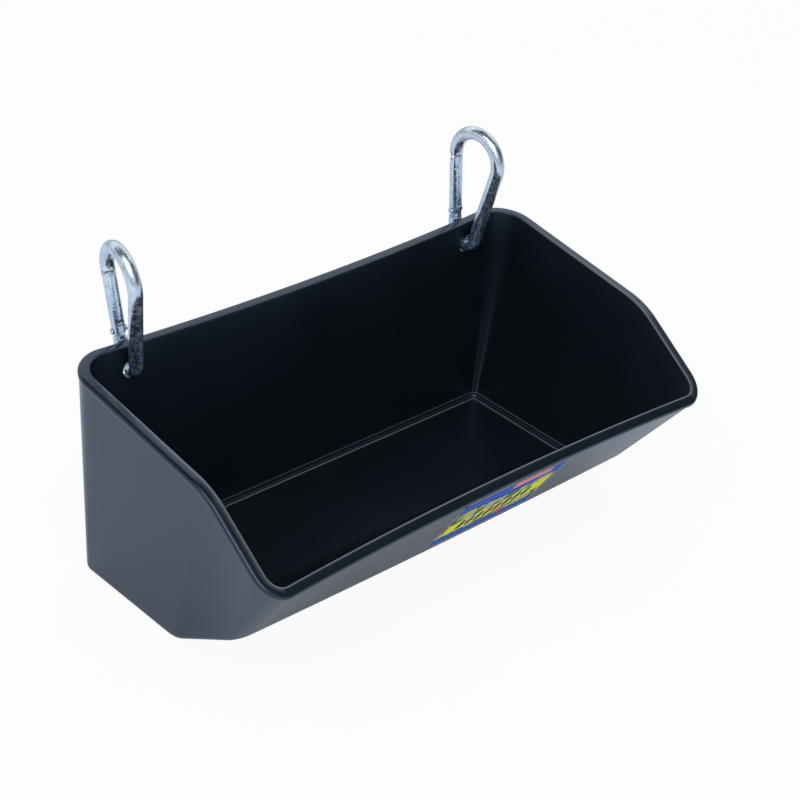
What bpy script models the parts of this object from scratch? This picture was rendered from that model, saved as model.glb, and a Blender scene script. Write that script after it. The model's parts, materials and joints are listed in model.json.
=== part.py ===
"""Hook-on feeder: a moulded trough that hangs by two spring snap hooks.

The trough is one loft of matching rings: its outer skin, its rolled rim and
its inner skin. Each snap hook is a bent wire with a sprung, riveted gate, and
goes through a round hole in the back wall, just below the rim.

Metres, +Z up. +X runs along the trough, +Y points to the back wall, and the
origin is the centre of the flat underside that the trough stands on.
"""
import math

import bmesh
import bpy
from mathutils import Euler, Matrix, Vector

# Trough, overall
RIM_LENGTH = 0.400
RIM_DEPTH = 0.2135
BACK_HEIGHT = 0.166
BEND_HEIGHT = 0.1455
BEND_SETBACK = 0.067
LIP_HEIGHT = 0.0993
BASE_LENGTH = 0.372
BASE_DEPTH = 0.1006
BASE_DRAFT = 0.003
TOE_LENGTH = 0.361
TOE_SETBACK = 0.0533
TOE_HEIGHT = 0.031

# Trough, wall and rim section
WALL = 0.004
FLANGE_REACH = 0.001
RIM_WIDTH = 0.008
FLANGE_THICKNESS = 0.005
FLANGE_EDGE_RADIUS = 0.0024
RIM_EDGE_BREAK = 0.0008
BACK_BOW = 0.0077
LIP_BOW = 0.0045
TOE_BOW = 0.0042

# Trough, rounded edges
REAR_RIM_RADIUS = 0.026
LIP_CORNER_RADIUS = 0.0175
REAR_BASE_RADIUS = 0.009
TOE_CORNER_RADIUS = 0.012
BEND_RADIUS = 0.060
FOLD_RADIUS = 0.030
OUTER_FILLET = 0.006
INNER_FILLET = 0.007

# Hook wire and its pear shape, on the wire's centre line
WIRE = 0.0097
SMALL_BOW = 0.010
LARGE_BOW = 0.0202
BOW_SPACING = 0.060

# Hook places: hole in the wall, and how each hook stands in it
HOOK_FROM_END = 0.0485
HOLE_SHIFT = 0.0009
HOLE_BELOW_RIM = 0.0192
HOLE_DIAMETER = 0.0134
HOOK_SAG = 0.0008
HOOK_INSET = 0.0002
HOOK_SHIFT = 0.00045
LEFT_HOOK_YAW = math.radians(-10.5)
LEFT_HOOK_TILT = math.radians(2.6)
LEFT_HOOK_LEAN = math.radians(-7.0)
RIGHT_HOOK_YAW = math.radians(2.3)
RIGHT_HOOK_TILT = math.radians(5.0)
RIGHT_HOOK_LEAN = math.radians(-1.3)

# Gate, measured along the straight side from the small bow's end
RIVET_AT = 0.0145
NOSE_JOINT_AT = 0.0553
NOSE_SLANT = math.radians(35)
NOSE_GAP = 0.0004
GATE_RADIUS_CUT = 0.0002
FORK_DEPTH = 0.0077

# Hinge tongue and rivet
TONGUE_THICKNESS = 0.004
TONGUE_RADIUS = 0.0043
TONGUE_RISE = 0.0028
RIVET_DIAMETER = 0.003
RIVET_HEAD_DIAMETER = 0.0048
RIVET_HEAD_HEIGHT = 0.001

# Nose tongue and latch pin
NOSE_THICKNESS = 0.003
NOSE_HALF_WIDTH = 0.0032
NOSE_NECK_WIDTH = 0.0015
NOSE_BULB_HEIGHT = 0.0030
NOSE_NOTCH_HEIGHT = 0.0042
NOSE_BULB_TIP_AT = 0.0448
PIN_DIAMETER = 0.0024

# Gate spring and plunger
BORE_DIAMETER = 0.0056
BORE_END_AT = 0.0375
PLUNGER_LENGTH = 0.0032
SPRING_WIRE = 0.0007
SPRING_TURNS = 7

# Label on the front wall
LABEL_CENTRE = 0.019
LABEL_WIDTH = 0.098
LABEL_THICKNESS = 0.0004
LABEL_LOW_SHARE = 0.06
LABEL_HIGH_SHARE = 0.95

# Fits
CLEARANCE = 0.0003
CUT_OVERRUN = 0.002

# Mesh counts
BACK_SEGMENTS = 8
FRONT_SEGMENTS = 8
CORNER_SEGMENTS = 6
BEND_SEGMENTS = 5
SIDE_SEGMENTS = 2
FILLET_SEGMENTS = 3
LABEL_COLUMNS = 10
LABEL_ROWS = 3
WIRE_SIDES_SETTING = 4
ROUND_SIDES = 24
HOLE_SIDES = 32

# Worked out from the sizes above
REAR_Y = BASE_DEPTH / 2
FOLD_Y = -BASE_DEPTH / 2
RIM_BACK_Y = REAR_Y + FLANGE_REACH + BASE_DRAFT
LIP_Y = RIM_BACK_Y - RIM_DEPTH
BEND_Y = LIP_Y + BEND_SETBACK
TOE_Y = LIP_Y + TOE_SETBACK
REAR_SLOPE = math.atan2(BACK_HEIGHT - BEND_HEIGHT, RIM_BACK_Y - BEND_Y)
FRONT_SLOPE = math.atan2(BEND_HEIGHT - LIP_HEIGHT, BEND_SETBACK)
FOLD_SLOPE = math.atan2(TOE_HEIGHT, FOLD_Y - TOE_Y)
HOOK_X = RIM_LENGTH / 2 - HOOK_FROM_END
FLARE = math.asin((LARGE_BOW - SMALL_BOW) / BOW_SPACING)
WIRE_RADIUS = WIRE / 2
GATE_RADIUS = WIRE_RADIUS - GATE_RADIUS_CUT
TONGUE_TOP_AT = RIVET_AT + TONGUE_RISE + TONGUE_RADIUS


def clear_scene():
    for found in list(bpy.data.objects):
        bpy.data.objects.remove(found, do_unlink=True)


def make_collection(name):
    collection = bpy.data.collections.new(name)
    bpy.context.scene.collection.children.link(collection)
    return collection


def make_material(name, colour, roughness, metallic=0.0):
    material = bpy.data.materials.new(name)
    material.use_nodes = True
    shader = material.node_tree.nodes["Principled BSDF"]
    shader.inputs["Base Color"].default_value = (*colour, 1.0)
    shader.inputs["Roughness"].default_value = roughness
    shader.inputs["Metallic"].default_value = metallic
    material.diffuse_color = (*colour, 1.0)
    return material


class Bend:
    """A height profile along Y: two straight slopes joined by an arc.

    Heights are counted from the corner (y, z) where the two slopes meet.
    rear_slope and front_slope are the rises per unit of Y behind it and
    before it, as angles; the arc starts and ends tangent to both.
    """

    def __init__(self, y, z, rear_slope, front_slope, radius):
        self.y = y
        self.z = z
        self.rear_slope = rear_slope
        self.front_slope = front_slope
        self.radius = radius
        tangent = radius * math.tan(abs(front_slope - rear_slope) / 2)
        self.rear_y = y + tangent * math.cos(rear_slope)
        self.front_y = y - tangent * math.cos(front_slope)
        side = math.copysign(radius, front_slope - rear_slope)
        self.centre_y = self.rear_y + side * math.sin(rear_slope)
        self.centre_z = z + tangent * math.sin(rear_slope) - side * math.cos(rear_slope)

    def slope(self, y):
        if y >= self.rear_y:
            return self.rear_slope
        if y <= self.front_y:
            return self.front_slope
        side = math.copysign(self.radius, self.front_slope - self.rear_slope)
        return math.asin((self.centre_y - y) / side)

    def height(self, y):
        if y >= self.rear_y:
            return self.z + (y - self.y) * math.tan(self.rear_slope)
        if y <= self.front_y:
            return self.z + (y - self.y) * math.tan(self.front_slope)
        side = math.copysign(self.radius, self.front_slope - self.rear_slope)
        return self.centre_z + side * math.cos(self.slope(y))

    def stations(self, segments):
        first = self.slope(self.rear_y)
        last = self.slope(self.front_y)
        side = math.copysign(self.radius, self.front_slope - self.rear_slope)
        angles = [first + (last - first) * step / segments for step in range(segments + 1)]
        return [self.centre_y - side * math.sin(angle) for angle in angles]


def rounded_corner(corner, toward_start, toward_end, radius, segments):
    """Points of an arc that rounds the plan corner between two directions."""
    start = toward_start.normalized()
    end = toward_end.normalized()
    half = start.angle(end) / 2
    tangent = radius / math.tan(half)
    first = corner + start * tangent
    centre = corner + (start + end).normalized() * (radius / math.sin(half))
    arm = first - centre
    sweep = math.pi - 2 * half
    turn = math.copysign(sweep, start.x * end.y - start.y * end.x)
    points = []
    for step in range(segments + 1):
        angle = -turn * step / segments
        spin = Matrix.Rotation(angle, 2)
        points.append(centre + spin @ arm)
    return points


def half_outline(half_rear, half_front, back_y, front_y, back_bow, front_bow, radii, bend):
    """One half of a ring in plan, from the back centre round to the front centre.

    The back and the front are parabolas, straight where their bow is zero, and
    each corner's arc starts along the slope that the parabola has there.
    """
    rear_corner = Vector((half_rear, back_y))
    front_corner = Vector((half_front, front_y))
    bend_x = half_rear
    side_rear = Vector((bend_x, bend.y)) - rear_corner
    side_front = Vector((bend_x, bend.y)) - front_corner
    rear_reach = 1 - radii[0] / half_rear
    front_reach = 1 - radii[1] / half_front
    along_back = Vector((-half_rear, -2 * back_bow * rear_reach))
    along_front = Vector((-half_front, 2 * front_bow * front_reach))
    rear_arc = rounded_corner(rear_corner, along_back, side_rear, radii[0], CORNER_SEGMENTS)
    front_arc = rounded_corner(front_corner, side_front, along_front, radii[1], CORNER_SEGMENTS)

    points = []
    for step in range(BACK_SEGMENTS):
        x = rear_arc[0].x * step / BACK_SEGMENTS
        reach = x / rear_arc[0].x
        bow = back_bow * rear_reach * rear_reach
        points.append(Vector((x, rear_arc[0].y - bow * (1 - reach * reach))))
    points.extend(rear_arc)
    stations = bend.stations(BEND_SEGMENTS)
    for step in range(1, SIDE_SEGMENTS):
        share = step / SIDE_SEGMENTS
        points.append(rear_arc[-1].lerp(Vector((bend_x, stations[0])), share))
    for y in stations:
        reach = max(0.0, (bend.y - y) / (bend.y - front_corner.y))
        points.append(Vector((bend_x + (half_front - bend_x) * reach, y)))
    last = points[-1]
    for step in range(1, SIDE_SEGMENTS):
        points.append(last.lerp(front_arc[0], step / SIDE_SEGMENTS))
    points.extend(front_arc)
    for step in range(1, FRONT_SEGMENTS + 1):
        x = front_arc[-1].x * (1 - step / FRONT_SEGMENTS)
        reach = x / front_arc[-1].x
        bow = front_bow * front_reach * front_reach
        points.append(Vector((x, front_arc[-1].y + bow * (1 - reach * reach))))
    return points


def rim_bend():
    return Bend(BEND_Y, BEND_HEIGHT, REAR_SLOPE, FRONT_SLOPE, BEND_RADIUS)


def rim_ring(inset, drop):
    """Half ring on the rim: inset from its outer edge, drop below its top face."""
    bend = rim_bend()
    half = RIM_LENGTH / 2 - inset
    back_y = RIM_BACK_Y - inset * math.cos(REAR_SLOPE)
    front_y = LIP_Y + inset * math.cos(FRONT_SLOPE)
    radii = (REAR_RIM_RADIUS - inset, LIP_CORNER_RADIUS - inset)
    plan = half_outline(half, half, back_y, front_y, BACK_BOW, LIP_BOW, radii, bend)
    ring = []
    for point in plan:
        slope = bend.slope(point.y)
        top = bend.height(point.y)
        ring.append(Vector((point.x, point.y + drop * math.sin(slope), top - drop * math.cos(slope))))
    return ring


def floor_bend(raised):
    """Floor profile, raised square to its own surface by the given thickness."""
    y = FOLD_Y + raised * math.tan(FOLD_SLOPE / 2)
    radius = FOLD_RADIUS - raised
    return Bend(y, raised, 0.0, -FOLD_SLOPE, radius)


def front_wall_angle():
    """Steepness of the front wall, from the toe up to the rim's underside."""
    top_y = LIP_Y + FLANGE_REACH * math.cos(FRONT_SLOPE) + FLANGE_THICKNESS * math.sin(FRONT_SLOPE)
    top_z = LIP_HEIGHT + FLANGE_REACH * math.sin(FRONT_SLOPE) - FLANGE_THICKNESS * math.cos(FRONT_SLOPE)
    return math.atan2(top_z - TOE_HEIGHT, TOE_Y - top_y)


def floor_ring(raised, inset):
    """Half ring along the foot of the walls, on the floor's lower or upper side.

    raised is the floor's thickness for the upper side, and inset moves the
    ring in from the foot of the walls, over the floor.
    """
    bend = floor_bend(raised)
    miter = math.tan((front_wall_angle() - FOLD_SLOPE) / 2)
    toe_run = raised * miter + inset
    toe_y = TOE_Y + raised * math.sin(FOLD_SLOPE) + toe_run * math.cos(FOLD_SLOPE)
    half_rear = BASE_LENGTH / 2 - raised - inset
    half_front = TOE_LENGTH / 2 - raised - inset
    back_y = REAR_Y - raised - inset
    radii = (
        max(REAR_BASE_RADIUS - raised - inset, WALL / 2),
        max(TOE_CORNER_RADIUS - raised - inset, WALL / 2),
    )
    plan = half_outline(half_rear, half_front, back_y, toe_y, 0.0, -TOE_BOW, radii, bend)
    return [Vector((point.x, point.y, bend.height(point.y))) for point in plan]


def fillet_rings(over_floor, foot, wall_top, radius):
    """Rings that round the foot of a wall, from the floor up to the wall."""
    rings = []
    for step in range(FILLET_SEGMENTS + 1):
        share = step / FILLET_SEGMENTS
        ring = []
        for inner, corner, top in zip(over_floor, foot, wall_top):
            upper = corner + (top - corner).normalized() * radius
            near = inner.lerp(corner, share)
            far = corner.lerp(upper, share)
            ring.append(near.lerp(far, share))
        rings.append(ring)
    return rings


def outer_rings():
    under_rim = rim_ring(FLANGE_REACH, FLANGE_THICKNESS)
    foot = floor_ring(0.0, 0.0)
    over_floor = floor_ring(0.0, OUTER_FILLET)
    return fillet_rings(over_floor, foot, under_rim, OUTER_FILLET) + [under_rim]


def rim_rings():
    """The rim's section: rounded outer edge, flat top land, broken inner edge.

    Below its middle the edge rounds back only as far as the wall under it.
    """
    rings = []
    middle = FLANGE_THICKNESS / 2
    for degrees in (-45, 0, 45, 90):
        angle = math.radians(degrees)
        rounding = FLANGE_REACH if degrees < 0 else FLANGE_EDGE_RADIUS
        inset = rounding * (1 - math.cos(angle))
        reach = middle * math.sin(angle)
        rings.append(rim_ring(inset, middle - reach))
    rings.append(rim_ring(RIM_WIDTH - RIM_EDGE_BREAK, 0.0))
    rings.append(rim_ring(RIM_WIDTH, RIM_EDGE_BREAK))
    return rings


def inner_rings(top_ring):
    foot = floor_ring(WALL, 0.0)
    over_floor = floor_ring(WALL, INNER_FILLET)
    rings = fillet_rings(over_floor, foot, top_ring, INNER_FILLET)
    return list(reversed(rings))


def add_half_ring(mesh, half):
    """Vertices of a whole ring: the given half, then its mirror image."""
    right = [mesh.verts.new(point) for point in half]
    left = [mesh.verts.new(Vector((-point.x, point.y, point.z))) for point in half[1:-1]]
    return right + list(reversed(left))


def cap_floor(mesh, ring, half_count):
    """Close a ring with the flat floor, the strips of its fold and the slope."""
    total = len(ring)
    start = BACK_SEGMENTS + CORNER_SEGMENTS + SIDE_SEGMENTS
    end = start + BEND_SEGMENTS
    mesh.faces.new(ring[: start + 1] + ring[total - start:])
    for index in range(start, end):
        corners = [ring[index], ring[index + 1], ring[total - index - 1], ring[total - index]]
        mesh.faces.new(corners)
    mesh.faces.new(ring[end: half_count] + ring[half_count: total - end + 1])


def mesh_object(mesh, name, collection, material, smooth_angle=math.radians(40)):
    data = bpy.data.meshes.new(name)
    mesh.to_mesh(data)
    mesh.free()
    data.shade_smooth()
    data.set_sharp_from_angle(angle=smooth_angle)
    built = bpy.data.objects.new(name, data)
    collection.objects.link(built)
    if material:
        data.materials.append(material)
    return built


def hide_cutter(cutter):
    cutter.hide_render = True
    cutter.display_type = "WIRE"


def add_boolean(target, other, operation):
    modifier = target.modifiers.new(operation.lower(), "BOOLEAN")
    modifier.operation = operation
    modifier.solver = "EXACT"
    modifier.object = other
    hide_cutter(other)
    return modifier


def rim_stretch(side):
    """The two points of the rim's middle line between which a hook stands."""
    ring = rim_ring(RIM_WIDTH / 2, 0.0)
    for near, far in zip(ring, ring[1:]):
        if far.x >= HOOK_X + side * HOLE_SHIFT:
            return [Vector((side * point.x, point.y, point.z)) for point in (near, far)]
    return None


def hole_centre(side):
    """Centre of a hook hole, at the middle of the bow that goes through it."""
    near, far = rim_stretch(side)
    share = (HOOK_X + side * HOLE_SHIFT - abs(near.x)) / (abs(far.x) - abs(near.x))
    middle = near.lerp(far, share)
    return Vector((middle.x, middle.y - HOOK_INSET, BACK_HEIGHT - HOLE_BELOW_RIM))


def wall_turn(side):
    """Turn about Z of the bowed back wall where a hook goes through it."""
    near, far = rim_stretch(side)
    return side * math.atan2(far.y - near.y, abs(far.x) - abs(near.x))


def make_trough(parts, cutters, plastic):
    mesh = bmesh.new()
    rims = rim_rings()
    halves = outer_rings() + rims + inner_rings(rims[-1])
    rings = [add_half_ring(mesh, half) for half in halves]
    for lower, upper in zip(rings, rings[1:]):
        count = len(lower)
        for index in range(count):
            after = (index + 1) % count
            mesh.faces.new((lower[index], lower[after], upper[after], upper[index]))
    half_count = len(halves[0])
    cap_floor(mesh, rings[0], half_count)
    cap_floor(mesh, rings[-1], half_count)
    bmesh.ops.recalc_face_normals(mesh, faces=mesh.faces)
    trough = mesh_object(mesh, "trough", parts, plastic)

    for side, label in ((-1, "left"), (1, "right")):
        drill = bmesh.new()
        bmesh.ops.create_cone(
            drill,
            cap_ends=True,
            segments=HOLE_SIDES,
            radius1=HOLE_DIAMETER / 2,
            radius2=HOLE_DIAMETER / 2,
            depth=RIM_WIDTH + BACK_BOW + CUT_OVERRUN,
            matrix=Matrix.Rotation(math.radians(90), 4, "X"),
        )
        cutter = mesh_object(drill, label + "_hole_cutter", cutters, None)
        cutter.location = hole_centre(side)
        cutter.rotation_euler = Euler((0.0, 0.0, wall_turn(side)))
        add_boolean(trough, cutter, "DIFFERENCE")
    return trough


def front_stretch_point(ring, reach):
    """A point on a ring's front, at a share of the way from its middle to its corner."""
    place = abs(reach) * FRONT_SEGMENTS
    whole = min(int(place), FRONT_SEGMENTS - 1)
    near = ring[-1 - whole]
    far = ring[-2 - whole]
    point = near.lerp(far, place - whole)
    return Vector((math.copysign(point.x, reach), point.y, point.z))


def front_wall_point(x, share, outward):
    """A point on the outside of the front wall, at a share of its height."""
    under_rim = rim_ring(FLANGE_REACH, FLANGE_THICKNESS)
    foot = floor_ring(0.0, 0.0)
    corner = -1 - FRONT_SEGMENTS
    half = foot[corner].x + (under_rim[corner].x - foot[corner].x) * share
    reach = x / half
    low = front_stretch_point(foot, reach)
    high = front_stretch_point(under_rim, reach)
    low = low + (high - low).normalized() * OUTER_FILLET
    point = low.lerp(high, share)
    steep = math.atan2(high.z - low.z, low.y - high.y)
    return Vector((x, point.y - outward * math.sin(steep), point.z - outward * math.cos(steep)))


def make_label(parts, film):
    mesh = bmesh.new()
    rows = []
    for row in range(LABEL_ROWS + 1):
        share = LABEL_LOW_SHARE + (LABEL_HIGH_SHARE - LABEL_LOW_SHARE) * row / LABEL_ROWS
        line = []
        for column in range(LABEL_COLUMNS + 1):
            x = LABEL_CENTRE + LABEL_WIDTH * (column / LABEL_COLUMNS - 1 / 2)
            line.append(mesh.verts.new(front_wall_point(x, share, CLEARANCE)))
        rows.append(line)
    for lower, upper in zip(rows, rows[1:]):
        for index in range(LABEL_COLUMNS):
            mesh.faces.new((lower[index], lower[index + 1], upper[index + 1], upper[index]))
    label = mesh_object(mesh, "front_label", parts, film)
    shell = label.modifiers.new("thickness", "SOLIDIFY")
    shell.thickness = LABEL_THICKNESS
    shell.offset = 1.0
    return label


# Hook plane: X from the gate side to the body side, Z up the hook, Y square
# to the hook. Its origin is the hole's centre.


def small_bow_centre():
    return Vector((0.0, 0.0, SMALL_BOW - HOOK_SAG))


def large_bow_centre():
    return small_bow_centre() + Vector((0.0, 0.0, BOW_SPACING))


def gate_frame():
    """Foot of the straight gate side, and the matrix whose Z runs up it."""
    arm = Vector((-math.cos(FLARE), 0.0, -math.sin(FLARE)))
    foot = small_bow_centre() + arm * SMALL_BOW
    tilt = Matrix.Rotation(-FLARE, 4, "Y")
    return Matrix.Translation(foot) @ tilt


def gate_side_length():
    return BOW_SPACING * math.cos(FLARE)


def arc_points(centre, radius, start, end, segments):
    points = []
    for step in range(segments + 1):
        angle = start + (end - start) * step / segments
        points.append(centre + Vector((math.cos(angle), 0.0, math.sin(angle))) * radius)
    return points


def hook_path():
    """Centre line of the bent wire, from the nose over the top to the hinge."""
    frame = gate_frame()
    nose = [frame @ Vector((0.0, 0.0, NOSE_JOINT_AT - WIRE_RADIUS))]
    large = arc_points(large_bow_centre(), LARGE_BOW, math.pi + FLARE, -FLARE, 20)
    small = arc_points(small_bow_centre(), SMALL_BOW, -FLARE, FLARE - math.pi, 14)
    hinge = [frame @ Vector((0.0, 0.0, RIVET_AT - WIRE_RADIUS - CLEARANCE))]
    return nose + large + small + hinge


def tube_mesh(points, radius, name, setting, collection):
    """A wire along the points, as a closed mesh object."""
    curve = bpy.data.curves.new(name, "CURVE")
    curve.dimensions = "3D"
    curve.bevel_depth = radius
    curve.bevel_resolution = setting
    curve.use_fill_caps = True
    spline = curve.splines.new("POLY")
    spline.points.add(len(points) - 1)
    for place, point in zip(spline.points, points):
        place.co = (*point, 1.0)
    holder = bpy.data.objects.new(name + "_curve", curve)
    collection.objects.link(holder)
    graph = bpy.context.evaluated_depsgraph_get()
    data = bpy.data.meshes.new_from_object(holder.evaluated_get(graph))
    world = holder.matrix_world.copy()
    bpy.data.objects.remove(holder, do_unlink=True)
    mesh = bmesh.new()
    mesh.from_mesh(data)
    bpy.data.meshes.remove(data)
    bmesh.ops.remove_doubles(mesh, verts=mesh.verts, dist=CLEARANCE / 100)
    bmesh.ops.recalc_face_normals(mesh, faces=mesh.faces)
    built = mesh_object(mesh, name, collection, None)
    built.matrix_world = world
    return built


def plate(name, outline, thickness, collection):
    """A flat plate in the hook plane, its outline given in the gate's frame."""
    mesh = bmesh.new()
    frame = gate_frame()
    front = [mesh.verts.new(frame @ Vector((x, -thickness / 2, z))) for x, z in outline]
    back = [mesh.verts.new(frame @ Vector((x, thickness / 2, z))) for x, z in outline]
    mesh.faces.new(front)
    mesh.faces.new(list(reversed(back)))
    count = len(outline)
    for index in range(count):
        after = (index + 1) % count
        mesh.faces.new((front[index], back[index], back[after], front[after]))
    bmesh.ops.recalc_face_normals(mesh, faces=mesh.faces)
    return mesh_object(mesh, name, collection, None)


def cross_pin(name, at, across, radius, length, collection, sides=ROUND_SIDES):
    """A round bar square to the hook plane, at a place in the gate's frame."""
    mesh = bmesh.new()
    place = gate_frame() @ Matrix.Translation((across, 0.0, at))
    bmesh.ops.create_cone(
        mesh,
        cap_ends=True,
        segments=sides,
        radius1=radius,
        radius2=radius,
        depth=length,
        matrix=place @ Matrix.Rotation(math.radians(90), 4, "X"),
    )
    return mesh_object(mesh, name, collection, None)


def along_bar(name, start, end, radius, collection, sides=ROUND_SIDES):
    """A round bar along the gate side, from start to end."""
    mesh = bmesh.new()
    place = gate_frame() @ Matrix.Translation((0.0, 0.0, (start + end) / 2))
    bmesh.ops.create_cone(
        mesh,
        cap_ends=True,
        segments=sides,
        radius1=radius,
        radius2=radius,
        depth=end - start,
        matrix=place,
    )
    return mesh_object(mesh, name, collection, None)


def slanted_outline(offset, above):
    """A big outline on one side of the slanted joint between nose and gate."""
    reach = WIRE
    rise = reach * math.tan(NOSE_SLANT)
    level = NOSE_JOINT_AT + offset
    far = level + (rise + WIRE) * (1 if above else -1)
    return [(-reach, level - rise), (reach, level + rise), (reach, far), (-reach, far)]


def tongue_outline():
    """Hinge tongue: straight sides past the rivet that end in a half round."""
    foot = RIVET_AT - WIRE_RADIUS - CLEARANCE - CUT_OVERRUN
    points = [(-TONGUE_RADIUS, foot), (TONGUE_RADIUS, foot)]
    for step in range(9):
        angle = math.pi * step / 8
        rise = TONGUE_RISE + TONGUE_RADIUS * math.sin(angle)
        points.append((TONGUE_RADIUS * math.cos(angle), RIVET_AT + rise))
    return points


def nose_outline():
    """Nose tongue: a neck and a bulb, with a notch open to the hook's inside."""
    left = -NOSE_HALF_WIDTH
    right = NOSE_HALF_WIDTH
    neck = left + NOSE_NECK_WIDTH
    tip = NOSE_BULB_TIP_AT
    shoulder = tip + NOSE_BULB_HEIGHT
    notch_top = shoulder + NOSE_NOTCH_HEIGHT
    root = NOSE_JOINT_AT + WIRE_RADIUS
    bulb = right - NOSE_NECK_WIDTH / 2
    return [
        (left, tip),
        (bulb, tip),
        (bulb, shoulder),
        (neck, shoulder),
        (neck, notch_top),
        (right, notch_top),
        (right, root),
        (left, root),
    ]


def pin_at():
    return NOSE_BULB_TIP_AT + NOSE_BULB_HEIGHT + NOSE_NOTCH_HEIGHT / 2


def pin_across():
    neck = -NOSE_HALF_WIDTH + NOSE_NECK_WIDTH
    return neck + PIN_DIAMETER / 2 + 2 * CLEARANCE


def finish(piece, name, parts, material, pivot):
    """Put a finished piece under its pivot, with its own copy of the material."""
    piece.name = name
    piece.data.name = name
    piece.data.materials.clear()
    piece.data.materials.append(material)
    for collection in list(piece.users_collection):
        collection.objects.unlink(piece)
    parts.objects.link(piece)
    piece.parent = pivot


def make_hook_body(side_name, parts, cutters, steel, pivot):
    body = tube_mesh(hook_path(), WIRE_RADIUS, side_name + "_wire", WIRE_SIDES_SETTING, parts)
    slant = plate(side_name + "_nose_cutter", slanted_outline(0.0, False), 2 * WIRE, cutters)
    add_boolean(body, slant, "DIFFERENCE")
    tongue = plate(side_name + "_tongue_blank", tongue_outline(), TONGUE_THICKNESS, cutters)
    add_boolean(body, tongue, "UNION")
    nose = plate(side_name + "_nose_blank", nose_outline(), NOSE_THICKNESS, cutters)
    add_boolean(body, nose, "UNION")
    hole_radius = RIVET_DIAMETER / 2 + CLEARANCE
    drill = cross_pin(side_name + "_tongue_drill", RIVET_AT, 0.0, hole_radius, 2 * WIRE, cutters)
    add_boolean(body, drill, "DIFFERENCE")
    finish(body, side_name + "_hook_body", parts, steel, pivot)
    for cutter in (slant, tongue, nose, drill):
        cutter.parent = pivot
    return body


def gate_blank(side_name, collection):
    """The gate before it is cut: a round bar with a ball end about the rivet."""
    radius = GATE_RADIUS
    top = NOSE_JOINT_AT + WIRE
    mesh = bmesh.new()
    place = gate_frame() @ Matrix.Translation((0.0, 0.0, RIVET_AT))
    rows = []
    steps = 6
    for step in range(1, steps + 1):
        angle = math.pi / 2 * step / steps
        rows.append((radius * math.sin(angle), -radius * math.cos(angle)))
    rows.append((radius, top - RIVET_AT))
    rings = []
    for reach, z in rows:
        ring = []
        for corner in range(ROUND_SIDES):
            angle = 2 * math.pi * corner / ROUND_SIDES
            ring.append(mesh.verts.new(place @ Vector((reach * math.cos(angle), reach * math.sin(angle), z))))
        rings.append(ring)
    for lower, upper in zip(rings, rings[1:]):
        for corner in range(ROUND_SIDES):
            after = (corner + 1) % ROUND_SIDES
            mesh.faces.new((lower[corner], lower[after], upper[after], upper[corner]))
    pole = mesh.verts.new(place @ Vector((0.0, 0.0, -radius)))
    for corner in range(ROUND_SIDES):
        mesh.faces.new((pole, rings[0][(corner + 1) % ROUND_SIDES], rings[0][corner]))
    mesh.faces.new(rings[-1])
    bmesh.ops.recalc_face_normals(mesh, faces=mesh.faces)
    return mesh_object(mesh, side_name + "_gate_blank", collection, None)


def slot_outline(start, end, inner_side):
    """A slot open to the hook's outside, as far as inner_side on its inside."""
    return [(-WIRE, start), (inner_side, start), (inner_side, end), (-WIRE, end)]


def make_gate(side_name, parts, cutters, steel, pivot):
    gate = gate_blank(side_name, parts)
    slant = plate(side_name + "_gate_end_cutter", slanted_outline(-NOSE_GAP, True), 2 * WIRE, cutters)
    add_boolean(gate, slant, "DIFFERENCE")
    fork = plate(
        side_name + "_fork_cutter",
        slot_outline(-CUT_OVERRUN, RIVET_AT + FORK_DEPTH, WIRE),
        TONGUE_THICKNESS + 2 * CLEARANCE,
        cutters,
    )
    add_boolean(gate, fork, "DIFFERENCE")
    latch = plate(
        side_name + "_latch_slot_cutter",
        slot_outline(NOSE_BULB_TIP_AT - 3 * CLEARANCE, NOSE_JOINT_AT + WIRE, NOSE_HALF_WIDTH + CLEARANCE),
        NOSE_THICKNESS + 2 * CLEARANCE,
        cutters,
    )
    add_boolean(gate, latch, "DIFFERENCE")
    bore = along_bar(side_name + "_bore_cutter", RIVET_AT, BORE_END_AT, BORE_DIAMETER / 2, cutters)
    add_boolean(gate, bore, "DIFFERENCE")
    hole_radius = RIVET_DIAMETER / 2 + CLEARANCE
    drill = cross_pin(side_name + "_fork_drill", RIVET_AT, 0.0, hole_radius, 2 * WIRE, cutters)
    add_boolean(gate, drill, "DIFFERENCE")
    pin_radius = PIN_DIAMETER / 2 + CLEARANCE
    pin_drill = cross_pin(
        side_name + "_pin_drill", pin_at(), pin_across(), pin_radius, 2 * WIRE, cutters
    )
    add_boolean(gate, pin_drill, "DIFFERENCE")
    finish(gate, side_name + "_gate", parts, steel, pivot)
    for cutter in (slant, fork, latch, bore, drill, pin_drill):
        cutter.parent = pivot
    return gate


def make_rivet(side_name, parts, cutters, steel, pivot):
    reach = GATE_RADIUS + CLEARANCE + RIVET_HEAD_HEIGHT / 2
    rivet = cross_pin(side_name + "_rivet_bar", RIVET_AT, 0.0, RIVET_DIAMETER / 2, 2 * reach, parts)
    frame = gate_frame()
    for sign in (-1, 1):
        mesh = bmesh.new()
        middle = sign * reach
        place = frame @ Matrix.Translation((0.0, middle, RIVET_AT))
        bmesh.ops.create_cone(
            mesh,
            cap_ends=True,
            segments=ROUND_SIDES,
            radius1=RIVET_HEAD_DIAMETER / 2,
            radius2=RIVET_DIAMETER / 2,
            depth=RIVET_HEAD_HEIGHT,
            matrix=place @ Matrix.Rotation(math.radians(-90 * sign), 4, "X"),
        )
        head = mesh_object(mesh, side_name + "_rivet_head_blank", cutters, None)
        add_boolean(rivet, head, "UNION")
        head.parent = pivot
    finish(rivet, side_name + "_hinge_rivet", parts, steel, pivot)
    return rivet


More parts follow.
